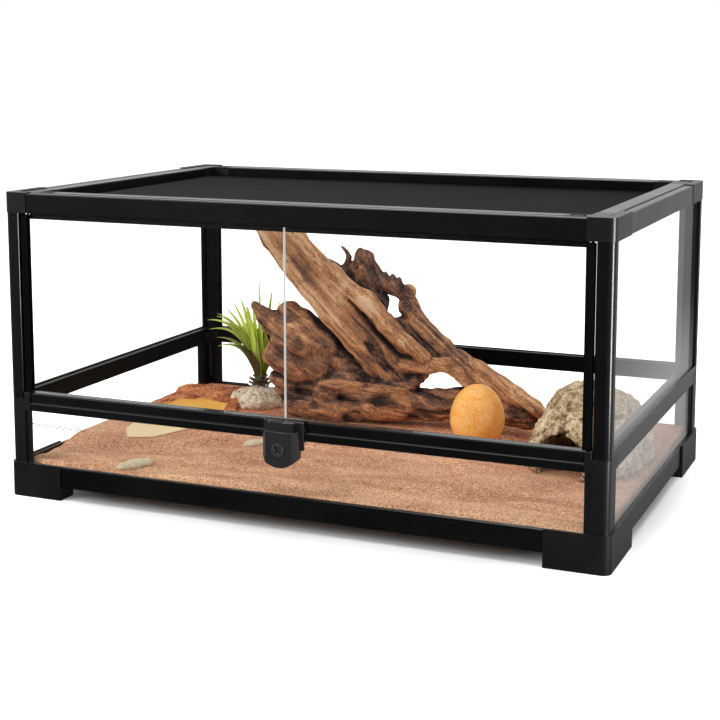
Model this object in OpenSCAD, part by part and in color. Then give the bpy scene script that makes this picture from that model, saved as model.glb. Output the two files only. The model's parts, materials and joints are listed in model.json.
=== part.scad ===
// Front-opening glass reptile terrarium: a glass tray, a framed glass case with two
// hinged doors, a lift-off screen cover, a keyed centre latch, and its furnishings.
// Millimetres, +Z up, origin on the floor under the middle of the case.

/* [Case] */
// Overall width, over the boots
case_w = 600; // [560:5:640]
// Overall depth, over the boots
case_d = 400; // [380:5:440]
// Overall height, floor to the top of the corner caps
case_h = 300; // [290:1:340]

/* [Tray] */
// Height of the corner boots
boot_h = 34; // [32:1:36]
// Leg of a boot along the front or back
boot_leg_x = 58; // [50:1:64]
// Leg of a boot along a side
boot_leg_y = 84; // [60:1:90]
// How far a boot stands proud of the rails
boot_skin = 2; // [1.5:0.5:2]
// Underside of the bottom rails above the floor
rail_lift = 12.5; // [11:0.5:14]
// Top of the bottom rails
rail_top = 33; // [32:0.5:33.5]
// Height where the case stands on the tray's corner posts
tray_h = 98; // [97:0.5:99]

/* [Frame] */
// Underside of the middle rails
mid_z0 = 86; // [84:0.5:87]
// Top of the middle rails
mid_z1 = 103.5; // [103:0.5:104]
// Height of the top rails' outer face
top_rail_h = 20; // [18:0.5:22]
// Width of the top rails, seen from above
top_rail_w = 8.5; // [8.5:0.5:9]
// Leg of a corner cap along the front or back
cap_leg_x = 24; // [24:0.5:26]
// Leg of a corner cap along a side
cap_leg_y = 58; // [48:1:62]
// Width of the face of a front post
front_post_w = 15.6; // [15.4:0.1:15.6]
// Width of the face of a rear post
rear_post_w = 22; // [20:0.5:22]
// Depth of the four upper posts
post_d = 12; // [11:0.5:13]
// Radius of the case's vertical corners
corner_r = 6; // [4:0.5:6]

/* [Glass] */
// Thickness of the tray glass
tray_glass_t = 5; // [4:0.5:5]
// Thickness of the case and door glass
case_glass_t = 4; // [3:0.5:4]
// Gap between the two doors
door_gap = 1.5; // [1:0.1:2]

/* [Screen cover] */
// Width of the cover's bars
bar_w = 16; // [14:0.5:17]
// Height of the cover's bars
bar_h = 13; // [12:0.5:13]
// Seam between the cover and the top rails
cover_seam = 2.5; // [2.5:0.1:3]
// Leg of a cover corner piece
cover_corner_leg = 36; // [34:1:42]

/* [Latch] */
// Width of the latch body
latch_w = 35; // [34:1:38]
// How far the latch body stands out from the middle rail
latch_d = 14; // [13:0.5:15]
// Height of the lock's axis
lock_z = 80; // [79:0.5:81]
// Radius of the lock barrel
lock_r = 6.5; // [6:0.1:6.5]
// Travel of the thumb catch
catch_travel = 8; // [6:0.5:8]

/* [Furnishings] */
// Mean height of the sand surface
sand_h = 37; // [34:0.5:40]
// Height of the standing ripples in the sand
ripple_h = 1.6; // [0.5:0.1:2]
// Height of the egg-shaped stone
egg_h = 64; // [50:1:68]
// Radius of the egg-shaped stone
egg_r = 27.5; // [24:0.5:28]

/* [Hidden] */

$fn = 48;
cut = 1;                                   // run-out of a cutting solid past the face it cuts
clear = 0.2;                               // gap round glass and other loose-fitted pieces

frame_color = [0.07, 0.07, 0.075];
cap_color = [0.16, 0.16, 0.165];
glass_color = [0.8, 0.88, 0.88, 0.3];
steel_color = [0.3, 0.3, 0.31];
sand_color = [0.80, 0.55, 0.40];
wood_color = [0.52, 0.37, 0.26];

// The rails' outer faces lie one boot skin inside the overall size.
hw = case_w / 2 - boot_skin;
hd = case_d / 2 - boot_skin;
wall = 4;                                  // outer face of a rail to its glass
rail_web = 2;                              // web under the glass
rail_foot = 18;                            // how far that web reaches inward
tray_slot = tray_glass_t + clear;
case_slot = case_glass_t + clear;
glass_seat_z = rail_lift + rail_web;       // the base and tray glass stand here
tray_glass_top = mid_z0 + 3.8;
glass_slot_h = 4;
mid_d = 14;                                // depth of a middle rail
post_leg_x = 22;                           // tray post along the front
post_leg_y = 28;                           // tray post along the side
rebate = 2;                                // step back of a thin inner edge
rebate_w = 6;

cap_z0 = case_h - top_rail_h;
cap_proud = 0.6;
ledge_h = 6;                               // the cover rests on this ledge
ledge_w = 14;
ledge_x = top_rail_w + 0.05;
stop_y = 6.8;                              // just behind the closed doors
stop_h = 6;
rail_drop = 1;                             // rails lie this far under the top of the caps
cavity_x0 = 2;                             // hollow of a top rail, for the caps' tenons
cavity_w = 4.5;
cavity_z0 = 7;
cavity_h = 10;
tenon_l = 20;
chamfer = 0.7;

door_z0 = mid_z1 + 1.5;
door_z1 = cap_z0 - 1.5;
pivot_x = hw - front_post_w - 3.8;         // door axis, from the middle of the case
pivot_y = -hd + 3.6;
pivot_r = 1.6;
pivot_play = 0.06;
barrel_r = 3.2;                            // stile round the axis
stile_t = 5.6;
stile_w = 5;
glass_inset = 1.8;                         // axis to the hidden edge of the door glass
pin_reach = 6.5;
pin_top_reach = 9;

cover_hw = hw - top_rail_w - cover_seam;
cover_hd = hd - top_rail_w - cover_seam;
cover_z0 = cap_z0 + ledge_h + 0.1;
mesh_z = cover_z0 + 2.05;
mesh_t = 0.9;

lip_z1 = mid_z1 - 0.1;
latch_front = -hd - latch_d;
latch_back = -hd - 2.5;
latch_z0 = 63;
latch_z1 = 96;
pocket_w = 26.8;
pocket_front = latch_front + 3.6;

// ---------- shared shapes ----------

// Brings the middle of the overall box, latch included, to the origin.
module placed() {
    translate([0, (latch_d - boot_skin + 0.8) / 2, 0])
        children();
}

// Puts a piece drawn at the front left corner, inward along +X and +Y, at any corner.
module corner(right, rear) {
    mirror([right ? 1 : 0, 0, 0])
        mirror([0, rear ? 1 : 0, 0])
            children();
}

// Plan of an angle whose outer corner is the origin, rounded by radius.
module angle_plan(leg_x, leg_y, width, radius) {
    difference() {
        union() {
            square([leg_x, width]);
            square([width, leg_y]);
        }
        difference() {
            translate([-cut, -cut])
                square(radius + cut);
            translate([radius, radius])
                circle(radius);
        }
    }
}

// Runs a section (x inward, y up) along X, centred, with its outer face on the front.
module run_x(length, face_y) {
    translate([-length / 2, face_y, 0])
        rotate([90, 0, 90])
            linear_extrude(length)
                children();
}

// The same section along Y, with its outer face on the left.
module run_y(length, face_x) {
    translate([face_x, length / 2, 0])
        rotate([90, 0, 0])
            linear_extrude(length)
                children();
}

// ---------- tray ----------

module boot() {
    color(cap_color)
        difference() {
            translate([-case_w / 2, -case_d / 2, 0])
                linear_extrude(boot_h)
                    angle_plan(boot_leg_x, boot_leg_y, 22, corner_r + boot_skin);
            // room for the rails, over the foot block
            translate([-hw, -hd, rail_lift])
                linear_extrude(boot_h)
                    angle_plan(case_w, case_d, 30, corner_r);
            // recesses for the rubber pads
            translate([-hw + 6, -hd + 6, -cut])
                cube([boot_leg_x - 16, 10 + clear, 2 + cut]);
            translate([-hw + 6, -hd + 20, -cut])
                cube([10 + clear, boot_leg_y - 34, 2 + cut]);
        }
}

module foot_pads() {
    color([0.03, 0.03, 0.03])
        for (right = [false, true], rear = [false, true])
            corner(right, rear) {
                translate([-hw + 6.1, -hd + 6.1, 0])
                    cube([boot_leg_x - 16.2, 10, 2]);
                translate([-hw + 6.1, -hd + 20.1, 0])
                    cube([10, boot_leg_y - 34.2, 2]);
            }
}

module bottom_rail_section() {
    polygon([
        [0, rail_lift + chamfer], [chamfer, rail_lift], [rail_foot, rail_lift],
        [rail_foot, glass_seat_z], [wall, glass_seat_z], [wall, rail_top],
        [chamfer, rail_top], [0, rail_top - chamfer]
    ]);
}

module front_bottom_rail() {
    color(frame_color)
        intersection() {
            run_x(2 * hw, -hd)
                bottom_rail_section();
            translate([-hw, -hd, 0])
                linear_extrude(case_h)
                    angle_plan(2 * hw, 2 * hd, 2 * hd, corner_r);
            translate([hw, -hd, 0])
                mirror([1, 0, 0])
                    linear_extrude(case_h)
                        angle_plan(2 * hw, 2 * hd, 2 * hd, corner_r);
        }
}

module left_bottom_rail() {
    color(frame_color)
        run_y(2 * (hd - rail_foot), -hw)
            bottom_rail_section();
}

module base_glass() {
    inset = wall + tray_glass_t + 0.4;
    color(glass_color)
        translate([-hw + inset, -hd + inset, glass_seat_z + 0.1])
            cube([2 * (hw - inset), 2 * (hd - inset), tray_glass_t]);
}

module front_tray_glass() {
    color(glass_color)
        translate([-hw + wall + 0.2, -hd + wall + 0.1, glass_seat_z + 0.1])
            cube([2 * (hw - wall - 0.2), tray_glass_t, tray_glass_top - glass_seat_z - 0.1]);
}

module left_tray_glass() {
    inset = wall + tray_glass_t + 0.2;
    color(glass_color)
        translate([-hw + wall + 0.1, -hd + inset, glass_seat_z + 0.1])
            cube([tray_glass_t, 2 * (hd - inset), tray_glass_top - glass_seat_z - 0.1]);
}

// Silicone fillets in the four upright corners of the glass tray.
module tray_seals() {
    inset = wall + tray_glass_t + 0.3;
    fillet = 3;
    color([0.85, 0.87, 0.86])
        for (right = [false, true], rear = [false, true])
            corner(right, rear)
                translate([-hw + inset, -hd + inset, sand_h + 6])
                    linear_extrude(tray_glass_top - sand_h - 8)
                        difference() {
                            square(fillet);
                            translate([fillet, fillet])
                                circle(fillet);
                        }
}

module tray_posts() {
    color(cap_color)
        for (right = [false, true], rear = [false, true])
            corner(right, rear)
                translate([-hw, -hd, 0])
                    difference() {
                        union() {
                            translate([0, 0, rail_top])
                                linear_extrude(tray_h - rail_top)
                                    angle_plan(post_leg_x, post_leg_y, wall, corner_r);
                            translate([0, 0, tray_glass_top + 0.2])
                                linear_extrude(tray_h - tray_glass_top - 0.2)
                                    angle_plan(post_leg_x, post_leg_y, mid_d, corner_r);
                        }
                        translate([post_leg_x - rebate_w, -cut, boot_h])
                            cube([rebate_w + cut, rebate + cut, mid_z0 - boot_h]);
                        translate([-cut, post_leg_y - rebate_w, boot_h])
                            cube([rebate + cut, rebate_w + cut, mid_z0 - boot_h]);
                    }
}

// ---------- middle rails and posts ----------

module front_mid_rail() {
    step_z = mid_z0 + 8;
    color(frame_color)
        run_x(2 * (hw - post_leg_x), -hd)
            polygon([
                [0, mid_z0 + chamfer], [chamfer, mid_z0], [wall, mid_z0],
                [wall, mid_z0 + glass_slot_h], [wall + tray_slot, mid_z0 + glass_slot_h],
                [wall + tray_slot, mid_z0], [mid_d, mid_z0], [mid_d, mid_z1],
                [rebate + chamfer, mid_z1], [rebate, mid_z1 - chamfer], [rebate, step_z],
                [chamfer, step_z], [0, step_z - chamfer]
            ]);
}

// Section with a slot below for the tray glass and one above for the case glass.
module slotted_mid_section() {
    polygon([
        [0, mid_z0 + chamfer], [chamfer, mid_z0], [wall, mid_z0],
        [wall, mid_z0 + glass_slot_h], [wall + tray_slot, mid_z0 + glass_slot_h],
        [wall + tray_slot, mid_z0], [mid_d, mid_z0], [mid_d, mid_z1],
        [wall + case_slot, mid_z1], [wall + case_slot, mid_z1 - glass_slot_h],
        [wall, mid_z1 - glass_slot_h], [wall, mid_z1], [chamfer, mid_z1], [0, mid_z1 - chamfer]
    ]);
}

module rear_mid_rail() {
    color(frame_color)
        mirror([0, 1, 0])
            run_x(2 * (hw - post_leg_x), -hd)
                slotted_mid_section();
}

// The part above the tray posts runs on to the upper posts.
module left_mid_rail() {
    color(frame_color)
        union() {
            run_y(2 * (hd - post_leg_y), -hw)
                slotted_mid_section();
            intersection() {
                run_y(2 * (hd - post_d), -hw)
                    slotted_mid_section();
                translate([-hw - cut, -hd, tray_h])
                    cube([mid_d + 2 * cut, 2 * hd, case_h]);
            }
        }
}

// Blocks beside the front posts that carry the doors' lower pivots.
module door_pivot_blocks() {
    inner = hw - post_leg_x;
    color(cap_color)
        for (right = [false, true])
            corner(right, false)
                difference() {
                    translate([-hw + front_post_w, -hd, tray_h])
                        cube([hw - front_post_w - inner, post_d, mid_z1 + 0.7 - tray_h]);
                    translate([-pivot_x, pivot_y, tray_h - cut])
                        cylinder(h = 20, r = pivot_r + pivot_play);
                }
}

module front_post() {
    color(frame_color)
        translate([-hw, -hd, tray_h])
            linear_extrude(cap_z0 - tray_h)
                difference() {
                    angle_plan(front_post_w, post_d, post_d, corner_r);
                    translate([wall - 0.05, corner_r])
                        square([case_slot, post_d]);
                    // chamfer that lets the door's stile swing past
                    polygon([
                        [front_post_w - 1.4, -cut], [front_post_w - 1.4, 0],
                        [front_post_w, 2.2], [front_post_w + cut, 2.2],
                        [front_post_w + cut, -cut]
                    ]);
                }
}

module rear_post() {
    color(frame_color)
        mirror([0, 1, 0])
            translate([-hw, -hd, tray_h])
                linear_extrude(cap_z0 - tray_h)
                    difference() {
                        angle_plan(rear_post_w, post_d, post_d, corner_r);
                        translate([wall - 0.05, corner_r])
                            square([case_slot, post_d]);
                        translate([rear_post_w - wall, wall - 0.05])
                            square([wall + cut, case_slot]);
                    }
}

module rear_glass() {
    color(glass_color)
        translate([-hw + 18.1, hd - wall - 0.1 - case_glass_t, mid_z1 - 3.9])
            cube([2 * (hw - 18.1), case_glass_t, case_z_span]);
}

module left_glass() {
    color(glass_color)
        translate([-hw + wall + 0.05, -hd + corner_r + 0.1, mid_z1 - 3.9])
            cube([case_glass_t, 2 * (hd - corner_r - 0.1), case_z_span]);
}
case_z_span = cap_z0 + 3.6 - (mid_z1 - 3.9);

// ---------- top frame ----------

// Section of a top rail; the hollow takes the tenons of the corner caps.
module top_rail_section(glazed) {
    top = top_rail_h - rail_drop;
    translate([0, cap_z0])
        difference() {
            polygon([
                [0, chamfer], [chamfer, 0], [top_rail_w, 0], [top_rail_w, top - chamfer],
                [top_rail_w - chamfer, top], [chamfer, top], [0, top - chamfer]
            ]);
            if (glazed)
                translate([wall, -cut])
                    square([case_slot, glass_slot_h + cut]);
            translate([cavity_x0, cavity_z0])
                square([cavity_w, cavity_h]);
        }
}

module front_top_rail() {
    color(frame_color)
        run_x(2 * (hw - cap_leg_x), -hd)
            top_rail_section(false);
}

module ledge_section() {
    translate([ledge_x, cap_z0])
        square([ledge_w - ledge_x, ledge_h]);
}

// Strips inside the top rails. The cover rests on them, and the doors close against the
// front one, which reaches lower.
module cover_ledges() {
    color(frame_color) {
        run_x(2 * (hw - cap_leg_x), -hd)
            translate([0, cap_z0])
                polygon([
                    [stop_y, -stop_h], [ledge_w, -stop_h], [ledge_w, ledge_h],
                    [ledge_x, ledge_h], [ledge_x, -0.05], [stop_y, -0.05]
                ]);
        mirror([0, 1, 0])
            run_x(2 * (hw - cap_leg_x), -hd)
                ledge_section();
        for (right = [0, 1])
            mirror([right, 0, 0])
                run_y(2 * (hd - cap_leg_y), -hw)
                    ledge_section();
    }
}

module rear_top_rail() {
    color(frame_color)
        mirror([0, 1, 0])
            run_x(2 * (hw - cap_leg_x), -hd)
                top_rail_section(true);
}

module left_top_rail() {
    color(frame_color)
        run_y(2 * (hd - cap_leg_y), -hw)
            top_rail_section(true);
}

module top_cap(rear) {
    color(cap_color)
        translate([-hw, -hd, cap_z0])
            union() {
                difference() {
                    union() {
                        translate([-cap_proud, -cap_proud, 0])
                            linear_extrude(top_rail_h)
                                angle_plan(cap_leg_x + cap_proud, cap_leg_y + cap_proud,
                                           top_rail_w + cap_proud, corner_r + cap_proud);
                        linear_extrude(ledge_h)
                            angle_plan(cap_leg_x, cap_leg_y, ledge_w, corner_r);
                    }
                    translate([wall - 0.05, corner_r, -cut])
                        cube([case_slot, cap_leg_y, glass_slot_h + cut]);
                    if (rear)
                        translate([rear_post_w - wall, wall - 0.05, -cut])
                            cube([cap_leg_x, case_slot, glass_slot_h + cut]);
                    else
                        translate([hw - pivot_x, pivot_y + hd, -cut])
                            cylinder(h = pin_top_reach + 1.5 + cut, r = pivot_r + pivot_play);
                }
                translate([cap_leg_x, cavity_x0 + 0.1, cavity_z0 + 0.1])
                    cube([tenon_l, cavity_w - 0.2, cavity_h - 0.2]);
                translate([cavity_x0 + 0.1, cap_leg_y, cavity_z0 + 0.1])
                    cube([cavity_w - 0.2, tenon_l, cavity_h - 0.2]);
            }
}

// ---------- doors ----------

module left_door_glass() {
    x0 = -pivot_x + glass_inset + 0.1;
    color(glass_color)
        translate([x0, pivot_y - case_glass_t / 2, door_z0])
            cube([-door_gap / 2 - x0, case_glass_t, door_z1 - door_z0]);
}

// Edge profile that grips the glass, turning on a pin at each end.
module left_door_stile() {
    color(frame_color)
        translate([-pivot_x, pivot_y, 0])
            union() {
                translate([0, 0, door_z0])
                    linear_extrude(door_z1 - door_z0)
                        difference() {
                            union() {
                                circle(barrel_r);
                                translate([0, -stile_t / 2])
                                    square([stile_w, stile_t]);
                            }
                            translate([glass_inset, -case_glass_t / 2 - 0.05])
                                square([stile_w, case_glass_t + 0.1]);
                        }
                translate([0, 0, door_z0 - pin_reach])
                    cylinder(h = pin_reach + cut, r = pivot_r);
                translate([0, 0, door_z1 - cut])
                    cylinder(h = pin_top_reach + cut, r = pivot_r);
            }
}

// ---------- latch ----------

// Bracket that hooks over and under the middle rail.
module latch_bracket() {
    half = 20;
    color(frame_color)
        translate([-half, 0, 0])
            rotate([90, 0, 90])
                linear_extrude(2 * half)
                    polygon([
                        [latch_back, 78], [-hd - 0.05, 78], [-hd - 0.05, mid_z0 - 1.4],
                        [-hd + 3, mid_z0 - 1.4], [-hd + 3, mid_z0 - 0.1],
                        [-hd - 0.05, mid_z0 - 0.1], [-hd - 0.05, mid_z0 + 8.1],
                        [-hd + rebate - 0.1, mid_z0 + 8.1], [-hd + rebate - 0.1, mid_z1 + 0.1],
                        [-hd + 8, mid_z1 + 0.1], [-hd + 8, mid_z1 + 0.8],
                        [latch_back + chamfer, mid_z1 + 0.8], [latch_back, mid_z1 + 0.1]
                    ]);
}

module latch_outline() {
    union() {
        translate([-latch_w / 2, latch_z0 + 10])
            square([latch_w, latch_z1 - latch_z0 - 10]);
        intersection() {
            translate([0, latch_z0 + 22])
                circle(22);
            translate([-latch_w / 2, latch_z0 - cut])
                square([latch_w, 20]);
        }
    }
}

// Shield-shaped housing with bevelled sides, open at the top for the catch.
module latch_body() {
    bevel = 4.7;
    half = latch_w / 2;
    color(cap_color)
        difference() {
            intersection() {
                translate([0, latch_back, 0])
                    rotate([90, 0, 0])
                        linear_extrude(latch_back - latch_front)
                            latch_outline();
                translate([0, 0, latch_z0 - cut])
                    linear_extrude(60)
                        polygon([
                            [-half, latch_back + cut], [-half, latch_front + bevel],
                            [-half + bevel, latch_front], [half - bevel, latch_front],
                            [half, latch_front + bevel], [half, latch_back + cut]
                        ]);
            }
            translate([-pocket_w / 2, pocket_front, latch_z0 + 9])
                cube([pocket_w, latch_back - pocket_front + cut, 40]);
            translate([0, pocket_front + cut, lock_z])
                rotate([90, 0, 0])
                    cylinder(h = 8, r = lock_r + pivot_play);
        }
}

// Thumb catch: a ridged head on two legs that straddle the lock.
module latch_catch() {
    half = pocket_w / 2 - 0.4;
    front = pocket_front + 0.4;
    back = latch_back - 0.3;
    head_z0 = latch_z1 + 0.2;
    head_z1 = mid_z1 + 0.1;
    color(frame_color)
        union() {
            translate([-half, front, head_z0])
                cube([2 * half, back - front, head_z1 - head_z0]);
            for (side = [-half, half - 5])
                translate([side, front, head_z0 - 7.5])
                    cube([5, back - front, 8]);
            for (i = [0:5])
                translate([-10 + 2 * i, back, head_z1 - 0.1])
                    rotate([90, 0, 0])
                        cylinder(h = back - front, r = 0.8);
        }
}

module lock_barrel() {
    slot_l = 8.4;
    color(steel_color)
        translate([0, 0, lock_z])
            rotate([90, 0, 0])
                difference() {
                    union() {
                        translate([0, 0, -pocket_front - 0.05])
                            cylinder(h = pocket_front - latch_front + 0.85, r = lock_r);
                        translate([0, 0, -pocket_front - 4.8])
                            cylinder(h = 5, r = 2.8);
                        // cam on the back of the barrel
                        translate([-2.4, -2.4, -pocket_front - 4.8])
                            cube([8, 4.8, 2.6]);
                    }
                    for (turn = [-45, 45])
                        rotate([0, 0, turn])
                            translate([-slot_l / 2, -1.1, -latch_front - 0.9])
                                cube([slot_l, 2.2, 5]);
                }
}

// ---------- screen cover ----------

// C-shaped section whose narrow mouth grips the edge of the mesh.
module cover_bar_section() {
    translate([0, cover_z0])
        polygon([
            [0, chamfer], [chamfer, 0], [bar_w - 2, 0], [bar_w - 2, 2], [2, 2],
            [2, bar_h - 2], [bar_w - 2, bar_h - 2], [bar_w - 2, 3], [bar_w, 3],
            [bar_w, bar_h - chamfer], [bar_w - chamfer, bar_h], [chamfer, bar_h],
            [0, bar_h - chamfer]
        ]);
}

module cover_bars() {
    color(frame_color)
        for (rear = [false, true]) {
            corner(false, rear)
                run_x(2 * (cover_hw - cover_corner_leg), -cover_hd)
                    cover_bar_section();
            corner(rear, false)
                run_y(2 * (cover_hd - cover_corner_leg), -cover_hw)
                    cover_bar_section();
        }
}

// Moulded corners, each with a tray for its clip and a slot for the clip's tongue.
module cover_corners() {
    color(cap_color)
        for (right = [false, true], rear = [false, true])
            corner(right, rear)
                translate([-cover_hw, -cover_hd, cover_z0])
                    difference() {
                        linear_extrude(bar_h)
                            angle_plan(cover_corner_leg, cover_corner_leg, bar_w, 3);
                        translate([4, 4, 2])
                            cube([60, 60, 1]);
                        translate([18, 3, 9.5])
                            cube([14, 10.5, 5]);
                        translate([20, -cut, 9.5])
                            cube([10, 5, 2]);
                    }
}

module screen_mesh() {
    inset = 4.2;
    color([0.2, 0.2, 0.2])
        translate([-cover_hw + inset, -cover_hd + inset, mesh_z])
            cube([2 * (cover_hw - inset), 2 * (cover_hd - inset), mesh_t]);
}

module clip() {
    color([0.04, 0.04, 0.04])
        translate([-cover_hw, -cover_hd, cover_z0])
            union() {
                translate([20.2, -1.6, 9.6])
                    cube([9.6, 9.6, 1.7]);
                translate([20.6, 4, 11])
                    cube([8.8, 1.4, 1.8]);
                translate([20.6, 6.4, 11])
                    cube([8.8, 1.4, 1.8]);
            }
}

// ---------- furnishings ----------

function smooth(t) = t <= 0 ? 0 : t >= 1 ? 1 : t * t * (3 - 2 * t);

// Level the furnishings stand on; a little lower at the right.
function bed_z(x) = sand_h + 3 - cave_drop * smooth((x - 112) / 45);

// Height of the sand: level round the furnishings, falling to low ripples at the front and
// away behind the dish.
function sand_z(x, y) =
    let (
        level = smooth((y + 40 + 84 * smooth((abs(x + 10) - 110) / 55)) / 28),
        ripples = ripple_h * sin(360 * (y - 0.42 * x) / 88 + 40 * sin(x * 0.9))
                  + 0.5 * ripple_h * sin(360 * (x + 0.2 * y) / 150),
        behind = 7 * smooth((y - 126) / 34) * smooth((-135 - x) / 40)
    )
    bed_z(x) * level + (sand_h - 2.5 + ripples) * (1 - level) - behind;

cave_drop = 4;
bed_gap = 0.05;
sand_hw = hw - wall - tray_glass_t - 0.6;
sand_hd = hd - wall - tray_glass_t - 0.6;
sand_nx = 36;
sand_ny = 24;

module sand_bed() {
    z0 = glass_seat_z + tray_glass_t + 0.15;
    px = [for (i = [0:sand_nx]) -sand_hw + 2 * sand_hw * i / sand_nx];
    py = [for (j = [0:sand_ny]) -sand_hd + 2 * sand_hd * j / sand_ny];
    row = sand_nx + 1;
    count = row * (sand_ny + 1);
    surface_points = [for (y = py, x = px) [x, y, sand_z(x, y)]];
    floor_points = [for (y = py, x = px) [x, y, z0]];
    middle = 2 * count;                    // one more point, where the floor's faces meet
    surface_faces = [
        for (j = [0:sand_ny - 1], i = [0:sand_nx - 1], half = [0, 1])
            let (a = j * row + i)
                half == 0 ? [a, a + row, a + row + 1] : [a, a + row + 1, a + 1]
    ];
    rim = concat(
        [for (i = [0:sand_nx - 1]) i],
        [for (j = [0:sand_ny - 1]) j * row + sand_nx],
        [for (i = [sand_nx:-1:1]) sand_ny * row + i],
        [for (j = [sand_ny:-1:1]) j * row]
    );
    side_faces = [
        for (k = [0:len(rim) - 1], half = [0, 1])
            let (a = rim[k], b = rim[(k + 1) % len(rim)])
                half == 0 ? [a, b, b + count] : [a, b + count, a + count]
    ];
    under_faces = [
        for (k = [0:len(rim) - 1]) [rim[k] + count, rim[(k + 1) % len(rim)] + count, middle]
    ];
    color(sand_color)
        polyhedron(concat(surface_points, floor_points, [[0, 0, z0]]),
                   concat(surface_faces, side_faces, under_faces));
}

// A limb: balls [x, y, z, r] along it, each joined to the next.
module limb(balls, facets = 12) {
    for (i = [0:len(balls) - 2])
        hull()
            for (b = [balls[i], balls[i + 1]])
                translate([b[0], b[1], b[2]])
                    sphere(b[3], $fn = facets);
}

trunk = [
    [-158, 70, 264, 21], [-137, 70, 241, 23], [-106, 71, 203, 25], [-79, 73, 182, 26],
    [-55, 75, 156, 25], [-34, 76, 135, 24], [-13, 77, 114, 24], [7, 77, 100, 20], [22, 77, 95, 14]
];
upper_ridge = [
    [-112, 62, 238, 10], [-84, 62, 208, 11], [-55, 63, 184, 11], [-28, 64, 171, 11],
    [-7, 64, 150, 11], [16, 65, 128, 11], [37, 66, 115, 10]
];
core = [[-84, 66, 112, 19], [-62, 68, 104, 18], [-42, 70, 90, 17], [-15, 70, 80, 14], [10, 70, 82, 12]];
web = [[-14, 80, 140, 10], [2, 82, 142, 10], [18, 82, 136, 12]];
band = [
    [9, 86, 178, 8], [11, 85, 163, 11], [32, 83, 133, 14], [49, 82, 121, 14],
    [68, 82, 107, 14], [91, 81, 96, 14], [112, 80, 87, 13], [132, 79, 77, 12],
    [153, 78, 68, 9], [163, 77, 64, 7]
];
fin = [
    [-84, 86, 203, 9], [-68, 86, 194, 10], [-50, 86, 198, 12], [-36, 86, 198, 14],
    [-24, 86, 187, 11], [-9, 86, 184, 10], [3, 86, 177, 9]
];
fin_low = [[-47, 84, 186, 13], [-32, 84, 176, 12], [-18, 83, 164, 9]];
fin_peaks = [
    [[-46, 86, 205, 8], [-46, 87, 221, 4]], [[-36, 86, 203, 9], [-40, 87, 219, 4.5]],
    [[-19, 86, 187, 7], [-17.4, 87, 199, 2.5]], [[-9, 86, 185, 8], [-9, 87, 198, 2.5]],
    [[-2, 86, 182, 8], [-1.4, 87, 194, 2.5]]
];
horn = [[-64, 86, 199, 5], [-61, 86, 208, 3.6], [-60, 86, 214, 3], [-62, 86, 219, 2.4], [-67, 86, 224, 1.4]];
bridge = [[14, 68, 105, 12], [39, 68, 107, 10], [59, 70, 109, 9], [73, 73, 100, 8], [83, 76, 88, 9]];
stump = [
    [-156, 52, 157, 6], [-147, 53, 149, 9], [-135, 54, 138, 14], [-119, 56, 126, 23],
    [-98, 57, 124, 25], [-76, 59, 119, 18], [-62, 62, 110, 10]
];
stump_top = [[-138, 60, 141, 10], [-118, 62, 153, 10], [-104, 62, 145, 12], [-80, 62, 130, 12]];
stump_low = [
    [-141, 54, 105, 9], [-125, 55, 106, 19], [-106, 57, 98, 23], [-82, 58, 99, 21],
    [-67, 60, 98, 13]
];
base_left = [
    [-134, 62, 78, 8], [-120, 60, 70, 15], [-111, 58, 55, 16], [-86, 58, 53, 21],
    [-62, 58, 52, 20], [-38, 57, 50, 14]
];
base_knobs = [
    [-95, 60, 73, 14], [-65, 56, 75, 16], [-52, 55, 81, 14], [-33, 55, 75, 13],
    [-10, 57, 76, 11], [12, 62, 79, 12], [25, 66, 86, 10]
];
base_log = [
    [-44, 62, 59, 19], [-17, 64, 61, 21], [12, 68, 63, 20], [42, 72, 63, 18],
    [72, 76, 65, 18], [100, 78, 67, 18], [125, 79, 61, 16], [144, 79, 57, 12]
];

module driftwood() {
    color(wood_color)
        difference() {
            union() {
                limb(trunk, 16);
                limb(upper_ridge);
                limb(core, 10);
                limb(web, 10);
                limb(band);
                limb(fin);
                limb(fin_low);
                for (peak = fin_peaks)
                    limb(peak, 8);
                limb(horn, 8);
                limb(bridge, 10);
                limb(stump, 14);
                limb(stump_top, 10);
                limb(stump_low);
                limb(base_left);
                limb(base_knobs, 10);
                limb(base_log, 14);
            }
            // a worn-through hole beside the fin
            translate([-6, 84, 160])
                rotate([90, 0, 0])
                    cylinder(h = 60, r = 4.5, center = true, $fn = 12);
            // flat underside, standing on the sand
            translate([-300, -200, 0])
                cube([600, 400, bed_z(0) + bed_gap]);
        }
}

plant_at = [-167, 84];
peg_z = 56;

// Place on an arching leaf, t of the way from its root to its tip.
function leaf_spot(tip, arch, t) =
    let (knee = [0.35 * tip[0], 0.35 * tip[1], 0.42 * tip[2] + arch])
    2 * t * (1 - t) * knee + t * t * tip;

// One leaf: a thin three-sided blade from the origin to its tip, bowed upwards by arch.
module leaf(tip, arch, width) {
    steps = 6;
    reach = norm([tip[0], tip[1]]);
    side = [-tip[1], tip[0], 0] / reach;
    down = [0.7 * tip[0] / reach, 0.7 * tip[1] / reach, -0.7];
    points = [for (i = [0:steps], k = [-1, 0, 1])
        let (t = i / steps, half = 0.5 * width * (1 - t * t) * min(1, 0.7 + 1.2 * t) + 0.3)
        leaf_spot(tip, arch, t) + (k == 0 ? (0.35 * half + 0.6) * down : k * half * side)];
    faces = concat(
        [[0, 1, 2], [3 * steps + 2, 3 * steps + 1, 3 * steps]],
        [for (i = [0:steps - 1], k = [0:2]) let (a = 3 * i + k, b = 3 * i + (k + 1) % 3)
            [a, a + 3, b]],
        [for (i = [0:steps - 1], k = [0:2]) let (a = 3 * i + k, b = 3 * i + (k + 1) % 3)
            [b, a + 3, b + 3]]
    );
    polyhedron(points, faces);
}

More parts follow.
